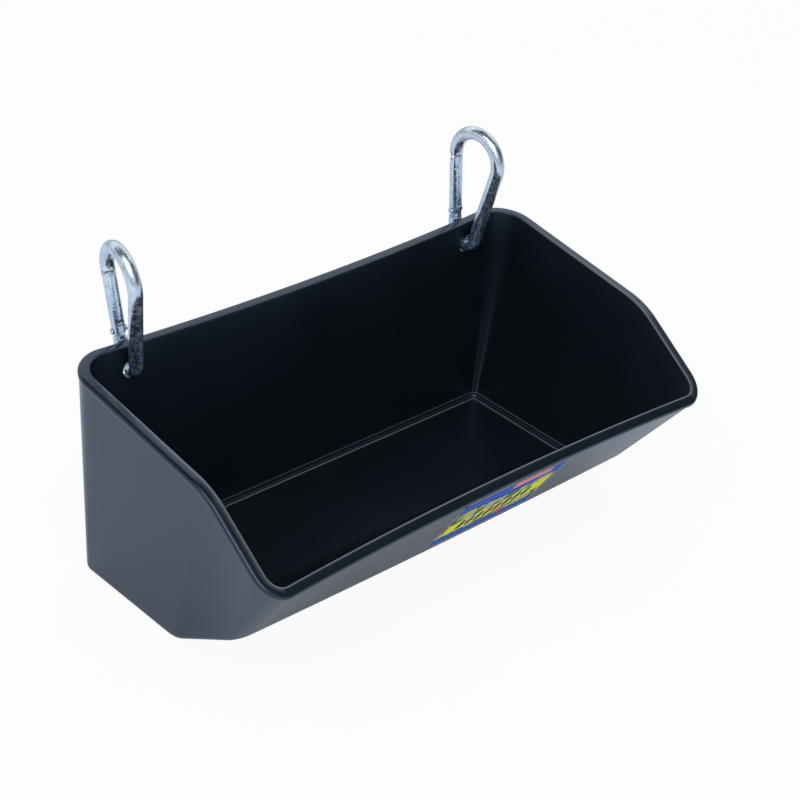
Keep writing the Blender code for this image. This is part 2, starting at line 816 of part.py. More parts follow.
def make_latch_pin(side_name, parts, steel, pivot):
    across = pin_across()
    reach = math.sqrt(GATE_RADIUS * GATE_RADIUS - (abs(across) + PIN_DIAMETER / 2) ** 2)
    pin = cross_pin(
        side_name + "_pin_bar", pin_at(), across, PIN_DIAMETER / 2, 2 * reach, parts, ROUND_SIDES // 2
    )
    finish(pin, side_name + "_latch_pin", parts, steel, pivot)
    return pin


def plunger_span():
    start = TONGUE_TOP_AT + CLEARANCE
    return start, start + PLUNGER_LENGTH


def make_plunger(side_name, parts, steel, pivot):
    start, end = plunger_span()
    radius = BORE_DIAMETER / 2 - CLEARANCE
    plunger = along_bar(side_name + "_plunger_bar", start, end, radius, parts, ROUND_SIDES // 2)
    finish(plunger, side_name + "_spring_plunger", parts, steel, pivot)
    return plunger


def make_spring(side_name, parts, steel, pivot):
    """Coil spring in the gate's bore, from the plunger to the bore's end."""
    radius = BORE_DIAMETER / 2 - CLEARANCE - SPRING_WIRE / 2
    first = plunger_span()[1] + CLEARANCE + SPRING_WIRE
    last = BORE_END_AT - CLEARANCE - SPRING_WIRE
    frame = gate_frame()
    per_turn = 10
    count = SPRING_TURNS * per_turn
    points = []
    for step in range(count + 1):
        angle = 2 * math.pi * step / per_turn
        z = first + (last - first) * step / count
        points.append(frame @ Vector((radius * math.cos(angle), radius * math.sin(angle), z)))
    spring = tube_mesh(points, SPRING_WIRE / 2, side_name + "_spring_wire", 1, parts)
    finish(spring, side_name + "_gate_spring", parts, steel, pivot)
    return spring


def hook_pivot(side_name, side, yaw, tilt, lean, parts):
    """Empty in the hole, whose X runs from the gate side to the body side."""
    pivot = bpy.data.objects.new(side_name + "_hook_pivot", None)
    parts.objects.link(pivot)
    across = Vector((math.sin(yaw), -math.cos(yaw), 0.0))
    normal = Vector((math.cos(yaw), math.sin(yaw), 0.0))
    up = Vector((0.0, 0.0, 1.0))
    square = Matrix((across, normal, up)).transposed().to_4x4()
    leaned = Matrix.Rotation(tilt, 4, "Y") @ Matrix.Rotation(-lean, 4, "X")
    place = hole_centre(side) + Vector((HOOK_SHIFT, 0.0, 0.0))
    pivot.matrix_world = Matrix.Translation(place) @ square @ leaned
    return pivot


def make_hook(side_name, side, yaw, tilt, lean, parts, cutters):
    pivot = hook_pivot(side_name, side, yaw, tilt, lean, parts)
    zinc = (0.62, 0.64, 0.66)
    names = ("wire", "gate", "rivet", "pin", "plunger", "spring")
    steels = {name: make_material(side_name + "_" + name + "_steel", zinc, 0.28, 1.0) for name in names}
    make_hook_body(side_name, parts, cutters, steels["wire"], pivot)
    make_gate(side_name, parts, cutters, steels["gate"], pivot)
    make_rivet(side_name, parts, cutters, steels["rivet"], pivot)
    make_latch_pin(side_name, parts, steels["pin"], pivot)
    make_plunger(side_name, parts, steels["plunger"], pivot)
    make_spring(side_name, parts, steels["spring"], pivot)
    rivet_place = pivot.matrix_world @ gate_frame() @ Vector((0.0, 0.0, RIVET_AT))
    print(side_name, "hole centre", tuple(round(value, 5) for value in hole_centre(side)))
    print(side_name, "rivet centre", tuple(round(value, 5) for value in rivet_place))
    normal = pivot.matrix_world.to_3x3() @ Vector((0.0, 1.0, 0.0))
    print(side_name, "rivet axis", tuple(round(value, 5) for value in normal))
    turn = wall_turn(side)
    print(side_name, "hole axis", round(-math.sin(turn), 5), round(math.cos(turn), 5), 0.0)


def main():
    clear_scene()
    parts = make_collection("hook_on_feeder")
    cutters = make_collection("cutters")
    plastic = make_material("trough_plastic", (0.022, 0.024, 0.030), 0.35)
    film = make_material("label_film", (0.16, 0.24, 0.42), 0.30)
    make_trough(parts, cutters, plastic)
    make_label(parts, film)
    make_hook("left", -1, LEFT_HOOK_YAW, LEFT_HOOK_TILT, LEFT_HOOK_LEAN, parts, cutters)
    make_hook("right", 1, RIGHT_HOOK_YAW, RIGHT_HOOK_TILT, RIGHT_HOOK_LEAN, parts, cutters)


main()
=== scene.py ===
# %% [markdown]
# # Dressing a hook-on feeder
# The feeder is a black moulded trough that stands on a flat base or hangs on a
# fence by two snap hooks. Its CAD parts come from the frame, and this lesson
# gives them finer surfaces and real finishes, then a plain studio.
# Everything stays in metres, at the place the frame gives it.

import json
import math

import bpy
import numpy as np
from mathutils import Matrix, Vector

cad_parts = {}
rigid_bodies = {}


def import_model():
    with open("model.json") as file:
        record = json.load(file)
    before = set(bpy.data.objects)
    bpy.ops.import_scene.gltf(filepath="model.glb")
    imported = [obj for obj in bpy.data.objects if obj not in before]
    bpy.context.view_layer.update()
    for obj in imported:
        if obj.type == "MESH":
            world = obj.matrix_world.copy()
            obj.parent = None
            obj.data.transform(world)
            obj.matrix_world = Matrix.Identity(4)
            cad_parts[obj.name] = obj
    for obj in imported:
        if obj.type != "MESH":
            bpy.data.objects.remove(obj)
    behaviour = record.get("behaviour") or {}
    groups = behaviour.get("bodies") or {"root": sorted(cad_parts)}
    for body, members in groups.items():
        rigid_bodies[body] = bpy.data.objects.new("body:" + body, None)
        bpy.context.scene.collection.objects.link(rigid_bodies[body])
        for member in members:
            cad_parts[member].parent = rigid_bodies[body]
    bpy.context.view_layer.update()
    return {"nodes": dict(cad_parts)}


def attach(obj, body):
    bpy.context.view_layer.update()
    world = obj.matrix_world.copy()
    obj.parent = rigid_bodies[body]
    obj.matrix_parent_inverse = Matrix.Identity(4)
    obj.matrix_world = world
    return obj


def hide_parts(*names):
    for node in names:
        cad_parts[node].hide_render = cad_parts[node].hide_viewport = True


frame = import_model()
print("CAD parts:", ", ".join(sorted(frame["nodes"])))

# %% [markdown]
# ## From arrays to meshes
# Each new piece is a surface: a grid of points, worked out as one numpy array.
# Rows of the grid run along the piece and columns run round it or across it.
# One helper turns such a grid into a mesh, so the formulas stay in one place
# and the mesh code is written once.

# %% Helpers that turn point grids into meshes
SMOOTH_ANGLE = math.radians(35)


def grid_faces(rows, columns, closed):
    """Quads between neighbouring rows: (r, c), (r+1, c), (r+1, c+1), (r, c+1)."""
    across = columns if closed else columns - 1
    row, column = np.meshgrid(np.arange(rows - 1), np.arange(across), indexing="ij")
    after = (column + 1) % columns
    corners = (
        row * columns + column,
        (row + 1) * columns + column,
        (row + 1) * columns + after,
        row * columns + after,
    )
    return np.stack(corners, axis=-1).reshape(-1, 4)


def mesh_piece(name, points, faces):
    """A mesh object at the origin from an array of points and a list of faces."""
    data = bpy.data.meshes.new(name)
    data.from_pydata(points.reshape(-1, 3).tolist(), [], faces)
    data.validate()
    data.shade_smooth()
    data.set_sharp_from_angle(angle=SMOOTH_ANGLE)
    piece = bpy.data.objects.new(name, data)
    bpy.context.scene.collection.objects.link(piece)
    return piece


def add_uv(piece, per_vertex):
    """A UV map from one (u, v) pair per vertex."""
    layer = piece.data.uv_layers.new(name="surface")
    loops = np.empty(len(piece.data.loops), dtype=np.int32)
    piece.data.loops.foreach_get("vertex_index", loops)
    layer.data.foreach_set("uv", per_vertex[loops].astype(np.float32).ravel())


def triangles(piece):
    piece.data.calc_loop_triangles()
    return len(piece.data.loop_triangles)


def enclosed_volume(piece):
    """Sum of corner . (corner x corner) / 6 over all triangles: positive if faces point outwards."""
    data = piece.data
    data.calc_loop_triangles()
    points = np.empty(len(data.vertices) * 3)
    data.vertices.foreach_get("co", points)
    index = np.empty(len(data.loop_triangles) * 3, dtype=np.int32)
    data.loop_triangles.foreach_get("vertices", index)
    a, b, c = points.reshape(-1, 3)[index.reshape(-1, 3)].transpose(1, 0, 2)
    return float(np.einsum("ij,ij->", a, np.cross(b, c)) / 6)


# %% [markdown]
# ## The trough's side profile
# Seen from the end, the rim runs down from the back, bends over and drops to
# the lip, and the floor is flat and then folds up to the toe. Both are two
# straight slopes joined by an arc, so one small class serves for both: it
# gives the height and the slope at any depth y, for a whole array at once.

# %% A profile of two slopes and an arc
class Bend:
    """Height over depth y: slope a behind the corner, slope b before it.

    An arc of the given radius touches both slopes. Its centre lies radius away
    from the two lines, and its height is centre + radius * cos(slope).
    """

    def __init__(self, y, z, behind, before, radius):
        self.y, self.z, self.behind, self.before = y, z, behind, before
        run = radius * math.tan(abs(before - behind) / 2)
        self.first = y + run * math.cos(behind)
        self.last = y - run * math.cos(before)
        self.arm = math.copysign(radius, before - behind)
        self.centre_y = self.first + self.arm * math.sin(behind)
        self.centre_z = z + run * math.sin(behind) - self.arm * math.cos(behind)

    def slope(self, y):
        turn = np.arcsin(np.clip((self.centre_y - y) / self.arm, -1, 1))
        return np.where(y >= self.first, self.behind, np.where(y <= self.last, self.before, turn))

    def height(self, y):
        arc = self.centre_z + self.arm * np.cos(self.slope(y))
        rear = self.z + (y - self.y) * math.tan(self.behind)
        front = self.z + (y - self.y) * math.tan(self.before)
        return np.where(y >= self.first, rear, np.where(y <= self.last, front, arc))

    def stations(self, steps):
        return self.centre_y - self.arm * np.sin(np.linspace(self.behind, self.before, steps + 1))


# %% [markdown]
# ## The trough's sizes
# These are the part's own sizes, in metres. The rim's back edge and its lip
# both bow in at their middle, as a long moulded edge does when it cools, and
# the fold line at the toe bows out.

# %% Sizes of the trough
RIM_LENGTH, RIM_DEPTH = 0.400, 0.2135
BACK_HEIGHT, BEND_HEIGHT, BEND_SETBACK, LIP_HEIGHT = 0.166, 0.1455, 0.067, 0.0993
BASE_LENGTH, BASE_DEPTH, BASE_DRAFT = 0.372, 0.1006, 0.003
TOE_LENGTH, TOE_SETBACK, TOE_HEIGHT = 0.361, 0.0533, 0.031
WALL, FLANGE_REACH, RIM_WIDTH, FLANGE_THICKNESS = 0.004, 0.001, 0.008, 0.005
EDGE_RADIUS, INNER_EDGE = 0.0024, 0.0008
BACK_BOW, LIP_BOW, TOE_BOW = 0.0077, 0.0045, 0.0042
REAR_RIM_RADIUS, LIP_CORNER_RADIUS, REAR_BASE_RADIUS, TOE_CORNER_RADIUS = 0.026, 0.0175, 0.009, 0.012
BEND_RADIUS, FOLD_RADIUS, OUTER_FILLET, INNER_FILLET = 0.060, 0.030, 0.006, 0.0032

rear_y = BASE_DEPTH / 2
rim_back_y = rear_y + FLANGE_REACH + BASE_DRAFT
lip_y = rim_back_y - RIM_DEPTH
toe_y = lip_y + TOE_SETBACK
rear_slope = math.atan2(BACK_HEIGHT - BEND_HEIGHT, rim_back_y - lip_y - BEND_SETBACK)
front_slope = math.atan2(BEND_HEIGHT - LIP_HEIGHT, BEND_SETBACK)
fold_slope = math.atan2(TOE_HEIGHT, -rear_y - toe_y)
rim_bend = Bend(lip_y + BEND_SETBACK, BEND_HEIGHT, rear_slope, front_slope, BEND_RADIUS)
print("rim slopes, degrees:", round(math.degrees(rear_slope), 1), round(math.degrees(front_slope), 1))

# %% [markdown]
# ## Rings round the trough
# The trough is a loft: closed rings of matching points, one above the other.
# Each ring is worked out in plan as one half, from the middle of the back,
# round a rear corner, along the end, round the front corner and to the middle
# of the front, and the other half is its mirror image.
# The counts below are finer than the CAD part's, so that the highlights along
# the edges run smooth.

# %% A ring in plan
BACK_STEPS, CORNER_STEPS, SIDE_STEPS, BEND_STEPS, FILLET_STEPS = 40, 18, 6, 18, 10


def corner_arc(corner, toward_start, toward_end, radius):
    """Arc that rounds a corner: centre + radius turned from tangent to tangent."""
    start = toward_start / np.linalg.norm(toward_start)
    end = toward_end / np.linalg.norm(toward_end)
    half = math.acos(float(np.clip(start @ end, -1, 1))) / 2
    middle = (start + end) / np.linalg.norm(start + end)
    centre = corner + middle * radius / math.sin(half)
    arm = corner + start * radius / math.tan(half) - centre
    turn = math.copysign(math.pi - 2 * half, start[0] * end[1] - start[1] * end[0])
    angle = -turn * np.linspace(0, 1, CORNER_STEPS + 1)
    x = arm[0] * np.cos(angle) - arm[1] * np.sin(angle)
    y = arm[0] * np.sin(angle) + arm[1] * np.cos(angle)
    return centre + np.stack([x, y], axis=1)


def half_ring(half_rear, half_front, back_y, front_y, bows, radii, bend):
    """Half a ring in plan. Front and back are parabolas: y = corner -+ bow * (1 - t * t)."""
    rear_corner, front_corner = np.array([half_rear, back_y]), np.array([half_front, front_y])
    rear_reach, front_reach = 1 - radii[0] / half_rear, 1 - radii[1] / half_front
    elbow = np.array([half_rear, bend.y])
    along_back = np.array([-half_rear, -2 * bows[0] * rear_reach])
    along_front = np.array([-half_front, 2 * bows[1] * front_reach])
    rear = corner_arc(rear_corner, along_back, elbow - rear_corner, radii[0])
    front = corner_arc(front_corner, elbow - front_corner, along_front, radii[1])

    t = np.linspace(0, 1, BACK_STEPS + 1)[:-1]
    back_line = np.stack([rear[0, 0] * t, rear[0, 1] - bows[0] * rear_reach**2 * (1 - t * t)], axis=1)
    stations = bend.stations(BEND_STEPS)
    reach = np.clip((bend.y - stations) / (bend.y - front_y), 0, None)
    bend_line = np.stack([half_rear + (half_front - half_rear) * reach, stations], axis=1)
    share = np.linspace(0, 1, SIDE_STEPS + 1)[1:-1, None]
    side_rear = rear[-1] * (1 - share) + bend_line[0] * share
    side_front = bend_line[-1] * (1 - share) + front[0] * share
    t = 1 - np.linspace(0, 1, BACK_STEPS + 1)[1:]
    front_line = np.stack([front[-1, 0] * t, front[-1, 1] + bows[1] * front_reach**2 * (1 - t * t)], axis=1)
    return np.concatenate([back_line, rear, side_rear, bend_line, side_front, front, front_line])


# %% [markdown]
# ## Rings of the rim and of the floor
# A rim ring lies at some inset from the rim's outer edge and some drop under
# its top face. A floor ring follows the foot of the walls, on the floor's
# lower side or, raised by the wall's thickness, on its upper side.

# %% Rim rings and floor rings
def rim_ring(inset, drop):
    """Half ring on the rim, moved down by drop square to the rim's own slope."""
    half = RIM_LENGTH / 2 - inset
    radii = (REAR_RIM_RADIUS - inset, LIP_CORNER_RADIUS - inset)
    back_y = rim_back_y - inset * math.cos(rear_slope)
    front_y = lip_y + inset * math.cos(front_slope)
    plan = half_ring(half, half, back_y, front_y, (BACK_BOW, LIP_BOW), radii, rim_bend)
    slope = rim_bend.slope(plan[:, 1])
    top = rim_bend.height(plan[:, 1])
    return np.stack([plan[:, 0], plan[:, 1] + drop * np.sin(slope), top - drop * np.cos(slope)], axis=1)


under_lip_y = lip_y + FLANGE_REACH * math.cos(front_slope) + FLANGE_THICKNESS * math.sin(front_slope)
under_lip_z = LIP_HEIGHT + FLANGE_REACH * math.sin(front_slope) - FLANGE_THICKNESS * math.cos(front_slope)
front_wall_angle = math.atan2(under_lip_z - TOE_HEIGHT, toe_y - under_lip_y)


def floor_ring(raised, inset):
    """Half ring on the floor: the foot of the walls, moved in by inset."""
    bend_y = -rear_y + raised * math.tan(fold_slope / 2)
    bend = Bend(bend_y, raised, 0.0, -fold_slope, FOLD_RADIUS - raised)
    run = raised * math.tan((front_wall_angle - fold_slope) / 2) + inset
    front_y = toe_y + raised * math.sin(fold_slope) + run * math.cos(fold_slope)
    half_rear = BASE_LENGTH / 2 - raised - inset
    half_front = TOE_LENGTH / 2 - raised - inset
    radii = [max(radius - raised - inset, WALL / 2) for radius in (REAR_BASE_RADIUS, TOE_CORNER_RADIUS)]
    plan = half_ring(half_rear, half_front, rear_y - raised - inset, front_y, (0.0, -TOE_BOW), radii, bend)
    return np.concatenate([plan, bend.height(plan[:, 1])[:, None]], axis=1)


def between(low, high, steps):
    """Rings spread evenly between two rings, both left out."""
    share = np.linspace(0, 1, steps + 2)[1:-1, None, None]
    return low * (1 - share) + high * share


def foot_fillet(over_floor, foot, wall_top, radius):
    """Rounded foot of a wall: (1-t)^2 * floor + 2t(1-t) * corner + t^2 * wall."""
    rise = wall_top - foot
    on_wall = foot + rise / np.linalg.norm(rise, axis=1)[:, None] * radius
    t = np.linspace(0, 1, FILLET_STEPS + 1)[:, None, None]
    return (1 - t) ** 2 * over_floor + 2 * t * (1 - t) * foot + t * t * on_wall


# %% [markdown]
# ## The whole shell
# The rings are stacked in one path: under the floor, up the outside, over the
# rolled edge of the rim, across its flat land, down the inside and over the
# floor again. Rings close beside each rounded edge keep the flat faces' shading
# truly flat, because the corner normals there then meet only flat faces. They
# also hold the painted highlight lines of the next step to a hair's width.

# %% Stack the rings
RIM_LINE_WIDTH, FLOOR_LINE_WIDTH, FLOOR_MARGIN, UNDER_MARGIN = 0.0011, 0.0016, 0.004, 0.003
WALL_ROWS = 5
under_rim = rim_ring(FLANGE_REACH, FLANGE_THICKNESS)
outside = foot_fillet(floor_ring(0.0, OUTER_FILLET), floor_ring(0.0, 0.0), under_rim, OUTER_FILLET)
edge = []
for angle in np.radians([-90, -70, -45, -20, 0, 15, 30, 45, 60, 75, 90]):
    rounding = FLANGE_REACH if angle < 0 else EDGE_RADIUS
    drop = FLANGE_THICKNESS / 2 * (1 - math.sin(angle))
    edge.append(rim_ring(rounding * (1 - math.cos(angle)), drop))
edge.append(rim_ring(RIM_WIDTH - INNER_EDGE - RIM_LINE_WIDTH, 0.0))
for angle in np.radians([0, 30, 60, 90]):
    inset = RIM_WIDTH - INNER_EDGE * (1 - math.sin(angle))
    edge.append(rim_ring(inset, INNER_EDGE * (1 - math.cos(angle))))
edge = np.array(edge)
inside = foot_fillet(floor_ring(WALL, INNER_FILLET), floor_ring(WALL, 0.0), edge[-1], INNER_FILLET)
rise = edge[-1] - inside[-1]
over_fillet = inside[-1] + rise / np.linalg.norm(rise, axis=1)[:, None] * FLOOR_LINE_WIDTH
halves = np.concatenate(
    [
        floor_ring(0.0, OUTER_FILLET + UNDER_MARGIN)[None],
        outside,
        between(outside[-1], edge[0], WALL_ROWS),
        edge,
        between(edge[-1], over_fillet, WALL_ROWS),
        over_fillet[None],
        inside[::-1],
        floor_ring(WALL, INNER_FILLET + FLOOR_LINE_WIDTH)[None],
        floor_ring(WALL, INNER_FILLET + FLOOR_MARGIN)[None],
    ]
)
mirror = halves[:, 1:-1][:, ::-1] * np.array([-1.0, 1.0, 1.0])
rings = np.concatenate([halves, mirror], axis=1)
print("rings:", rings.shape[0], "points in a ring:", rings.shape[1])

# %% [markdown]
# ## Closing the shell
# The stack of rings is open at its two ends, which are the two sides of the
# floor. Flat faces close them: one for the flat floor, one for the slope up to
# the toe, and narrow strips over the arc between the two. The faces of the
# upper side are turned over, so that every face looks outwards. The printed
# volume tests that, because a shell that is inside out has a negative one.

# %% Close the floors and make the trough
def floor_caps(first, count, half_count):
    """Flat floor, the strips of its fold, and the flat slope up to the toe."""
    start = BACK_STEPS + CORNER_STEPS + SIDE_STEPS
    end = start + BEND_STEPS
    index = np.arange(count)
    strip = np.arange(start, end)
    quads = np.stack([strip, strip + 1, count - strip - 1, count - strip], axis=1)
    flat = np.concatenate([index[: start + 1], index[count - start:]])
    slope = np.concatenate([index[end:half_count], index[half_count: count - end + 1]])
    return [face + first for face in [flat, slope, *quads]]


count = rings.shape[1]
half_count = halves.shape[1]
faces = grid_faces(len(rings), count, True).tolist()
faces += [face.tolist() for face in floor_caps(0, count, half_count)]
faces += [face[::-1].tolist() for face in floor_caps((len(rings) - 1) * count, count, half_count)]
trough = mesh_piece("trough_shell", rings, faces)
print("trough:", triangles(trough), "triangles,", round(enclosed_volume(trough) * 1e6, 1), "cm3 of plastic")

# %% [markdown]
# ## Painted highlight lines
# Fine pale lines are painted into the plastic's colour where thin highlights
# fall. They run along both edges of the fillet round the floor, and twice up
# each rear corner inside, where they fade out. They also follow the inner edge
# of the rim on the ends and the lip. Each point gets one number, 1 on such a
# line and 0 beside it, and the plastic reads it later as an attribute. A second
# number marks the inside, which is less polished.

# %% Mark the painted highlight lines and the inside
LINE_REAR_END, END_STRIP, EDGE_FADE, LAND_FADE = 0.04, 0.015, 0.02, 0.08
# Painted highlight: each number below is pale colour that stands in for a thin highlight line.
highlight_share = np.zeros(rings.shape[:2])
# The rim's inner edge is the four rings before rim_end. The flat land beside it is the fifth.
rim_end = 1 + len(outside) + WALL_ROWS + len(edge)
rim_x, rim_y = rings[rim_end - 4, :, 0], rings[rim_end - 4, :, 1]
highlight_share[rim_end - 4: rim_end - 2] = 0.70 * np.clip((LINE_REAR_END - rim_y) / EDGE_FADE, 0, 1)
on_ends = np.abs(rim_x) > RIM_LENGTH / 2 - END_STRIP
highlight_share[rim_end - 5] = 0.50 * np.clip((LINE_REAR_END - rim_y) / LAND_FADE, 0, 1) * on_ends
# The fillet round the floor: first its edge on the floor, then its edge on the wall.
highlight_share[-3] = 1.0
highlight_share[-2 - len(inside)] = 0.8
# Two lines up each rear corner, which fade from the fillet to the rim.
fading = np.linspace(0.0, 1.0, WALL_ROWS + 1)
for column, share in ((BACK_STEPS + 6, 0.65), (BACK_STEPS + 12, 0.8)):
    for twin in (column, -column):
        highlight_share[rim_end: rim_end + WALL_ROWS + 1, twin] = share * fading
inner_share = np.zeros(rings.shape[:2])
inner_share[rim_end - 1:] = 1.0
for name, share in (("witness_line", highlight_share), ("inner_side", inner_share)):
    layer = trough.data.attributes.new(name, "FLOAT", "POINT")
    layer.data.foreach_set("value", share.astype(np.float32).ravel())
# The count below is of points on the painted highlight lines.
print("points on witness lines:", int((highlight_share > 0).sum()), "of", highlight_share.size)


# %% [markdown]
# ## Two holes for the hooks
# The hooks go through round holes under the back rim. A drill is a plain
# cylinder set square to the bowed wall, and an exact Boolean takes it away. It
# is a hair wider than the CAD hole, because the wire here is rounder.
# The result is written back into the mesh and the drill is thrown away, so
# nothing hidden is left in the file.

# %% Drill the hook holes
HOOK_FROM_END, HOLE_SHIFT, HOLE_BELOW_RIM, HOLE_DIAMETER = 0.0485, 0.0009, 0.0192, 0.0134
HOOK_INSET, HOOK_SHIFT, HOLE_EASE, DRILL_REACH = 0.0002, 0.00045, 0.0002, 0.012


def disc_bar(name, start, end, radius, sides=48):
    """A closed round bar between two points: centre + radius * (cos, sin), capped by flat discs."""
    axis = (end - start) / np.linalg.norm(end - start)
    across = np.cross(axis, [0.0, 0.0, 1.0] if abs(axis[2]) < 0.9 else [1.0, 0.0, 0.0])
    across = across / np.linalg.norm(across)
    other = np.cross(axis, across)
    angle = np.linspace(0, 2 * math.pi, sides, endpoint=False)[:, None]
    ring = radius * (np.cos(angle) * across + np.sin(angle) * other)
    faces = grid_faces(2, sides, True)[:, ::-1].tolist()
    faces += [list(range(sides))[::-1], list(range(sides, 2 * sides))]
    return mesh_piece(name, np.concatenate([start + ring, end + ring]), faces)


def carve(piece, tools):
    """Cut the tools out of a piece with exact Booleans, then remove the tools."""
    for tool in tools:
        modifier = piece.modifiers.new(tool.name, "BOOLEAN")
        modifier.operation = "DIFFERENCE"
        modifier.solver = "EXACT"
        modifier.object = tool
    graph = bpy.context.evaluated_depsgraph_get()
    data = bpy.data.meshes.new_from_object(piece.evaluated_get(graph))
    piece.modifiers.clear()
    old, piece.data = piece.data, data
    bpy.data.meshes.remove(old)
    for tool in tools:
        bpy.data.objects.remove(tool, do_unlink=True)
    data.shade_smooth()
    data.set_sharp_from_angle(angle=SMOOTH_ANGLE)


middle_line = rim_ring(RIM_WIDTH / 2, 0.0)
holes = {}
drills = []
for sign, side in ((-1, "left"), (1, "right")):
    reach = RIM_LENGTH / 2 - HOOK_FROM_END + sign * HOLE_SHIFT
    far_end = int(np.argmax(middle_line[:, 0] >= reach))
    near, far = middle_line[far_end - 1], middle_line[far_end]
    hole_y = float(near[1] + (far[1] - near[1]) * (reach - near[0]) / (far[0] - near[0])) - HOOK_INSET
    turn = sign * math.atan2(far[1] - near[1], far[0] - near[0])
    centre = np.array([sign * reach, hole_y, BACK_HEIGHT - HOLE_BELOW_RIM])
    along = DRILL_REACH * np.array([-math.sin(turn), math.cos(turn), 0.0])
    radius = HOLE_DIAMETER / 2 + HOLE_EASE
    drills.append(disc_bar(side + "_drill", centre - along, centre + along, radius))
    holes[side] = centre
carve(trough, drills)
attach(trough, "trough")
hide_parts("trough")
print("hole centres:", {side: centre.round(4).tolist() for side, centre in holes.items()})


# %% [markdown]
# ## The hooks' own plane
# Each snap hook is flat, so all its pieces are worked out in one plane: x from
# the gate side to the body side, y square to the hook and z up it, with the
# origin in the hole. A matrix then turns that plane into the world. A second
# frame has its z along the straight gate side, where gate, rivet and pin lie.

# %% Hook sizes and frames
WIRE, SMALL_BOW, LARGE_BOW, BOW_SPACING, HOOK_SAG = 0.0097, 0.010, 0.0202, 0.060, 0.0008
RIVET_AT, NOSE_JOINT_AT, NOSE_GAP, NOSE_SLANT = 0.0145, 0.0553, 0.0004, math.radians(35)
CLEARANCE, GATE_CUT = 0.0003, 0.0002
GATE_RADIUS = WIRE / 2 - GATE_CUT
flare = math.asin((LARGE_BOW - SMALL_BOW) / BOW_SPACING)
small_centre = np.array([0.0, SMALL_BOW - HOOK_SAG])
large_centre = small_centre + np.array([0.0, BOW_SPACING])
stance = {"left": (-10.5, 2.6, -7.0), "right": (2.3, 5.0, -1.3)}


def hook_frame(side):
    """World matrix of a hook's plane: its place in the hole, its yaw, tilt and lean."""
    yaw, tilt, lean = (math.radians(value) for value in stance[side])
    square = Matrix(
        (
            (math.sin(yaw), math.cos(yaw), 0.0),
            (-math.cos(yaw), math.sin(yaw), 0.0),
            (0.0, 0.0, 1.0),
        )
    ).to_4x4()
    place = Matrix.Translation(Vector(holes[side]) + Vector((HOOK_SHIFT, 0.0, 0.0)))
    return np.array(place @ square @ Matrix.Rotation(tilt, 4, "Y") @ Matrix.Rotation(-lean, 4, "X"))


def gate_frame():
    """Matrix of the gate side in the hook's plane, its origin where the small bow ends."""
    foot = small_centre - SMALL_BOW * np.array([math.cos(flare), math.sin(flare)])
    return np.array(Matrix.Translation((foot[0], 0.0, foot[1])) @ Matrix.Rotation(-flare, 4, "Y"))


def moved(matrix, points):
    """Points through a 4 x 4 matrix, as one array product."""
    return points @ matrix[:3, :3].T + matrix[:3, 3]


for side in ("left", "right"):
    rivet_place = moved(hook_frame(side) @ gate_frame(), np.array([0.0, 0.0, RIVET_AT]))
    print(side, "rivet centre:", rivet_place.round(5).tolist())

# %% [markdown]
# ## The bent wire
# The body of a snap hook is one length of round wire, bent to a pear shape.
# Its centre line is two arcs and the straight lines that touch them. A circle
# is carried along that line, with its centre on the line and its plane square
# to it. At the nose the last circles are sheared, so that the wire ends in
# the slanted face which meets the gate, and both ends get a small rounded edge.

# %% Sweep the wire
WIRE_SIDES, END_ROUND, NOSE_LEAD = 40, 0.0004, 0.005
round_angle = np.linspace(0, 2 * math.pi, WIRE_SIDES, endpoint=False)
end_turns = np.radians([0, 30, 60, 90])


def arc_line(centre, radius, start, end, steps):
    """Points centre + radius * (cos a, sin a), for a from start to end."""
    angle = np.linspace(start, end, steps)
    return centre + radius * np.stack([np.cos(angle), np.sin(angle)], axis=1)


def on_gate_side(z):
    """A point of the hook's plane at height z up the gate side."""
    matrix = gate_frame()
    return (matrix[:3, 3] + matrix[:3, 2] * z)[[0, 2]]


def wire_centre_line():
    large = arc_line(large_centre, LARGE_BOW, math.pi + flare, -flare, 64)
    small = arc_line(small_centre, SMALL_BOW, -flare, flare - math.pi, 40)
    body = np.linspace(large[-1], small[0], 26)[1:-1]
    nose = np.linspace(on_gate_side(NOSE_JOINT_AT + NOSE_LEAD), large[0], 3)[:-1]
    return np.concatenate([nose, large, body, small])


def swept_rows(line, radius):
    """Circles on the line: point + r * (cos f * n + sin f * y), n in the hook's plane."""
    tangent = np.gradient(line, axis=0)
    tangent = tangent / np.linalg.norm(tangent, axis=1)[:, None]
    normal = np.stack([-tangent[:, 1], tangent[:, 0]], axis=1)
    flat = line[:, None, :] + radius * np.cos(round_angle)[None, :, None] * normal[:, None, :]
    square = np.broadcast_to(radius * np.sin(round_angle), flat.shape[:2])
    return np.stack([flat[..., 0], square, flat[..., 1]], axis=-1)


def gate_side_row(z, radius, slant=0.0):
    """A circle round the gate side's line, sheared by tan(slant) along it."""
    across = -radius * np.cos(round_angle)
    local = np.stack([across, radius * np.sin(round_angle), z + across * math.tan(slant)], axis=-1)
    return moved(gate_frame(), local)


def wire_points():
    rows = swept_rows(wire_centre_line(), WIRE / 2)
    reach = WIRE / 2 - END_ROUND * (1 - np.cos(end_turns))
    step = END_ROUND * (1 - np.sin(end_turns))
    nose = [gate_side_row(NOSE_JOINT_AT + d, r, NOSE_SLANT) for d, r in zip(step[::-1], reach[::-1])]
    foot = RIVET_AT - WIRE / 2 - CLEARANCE
    hinge = [gate_side_row(foot - d, r) for d, r in zip(step, reach)]
    return np.concatenate([nose, rows, hinge])


def ring_caps(rows, columns):
    """One flat face on the first ring and one on the last."""
    return [list(range(columns)), list(range((rows - 1) * columns, rows * columns))[::-1]]


def flow_uv(points):
    """u is the distance along the rows in wire widths, v the share of the way round."""
    middle = points.mean(axis=1)
    walked = np.concatenate([[0.0], np.cumsum(np.linalg.norm(np.diff(middle, axis=0), axis=1))])
    around = np.linspace(0, 1, points.shape[1], endpoint=False)
    u, v = np.meshgrid(walked / WIRE, around, indexing="ij")
    return np.stack([u, v], axis=-1).reshape(-1, 2)


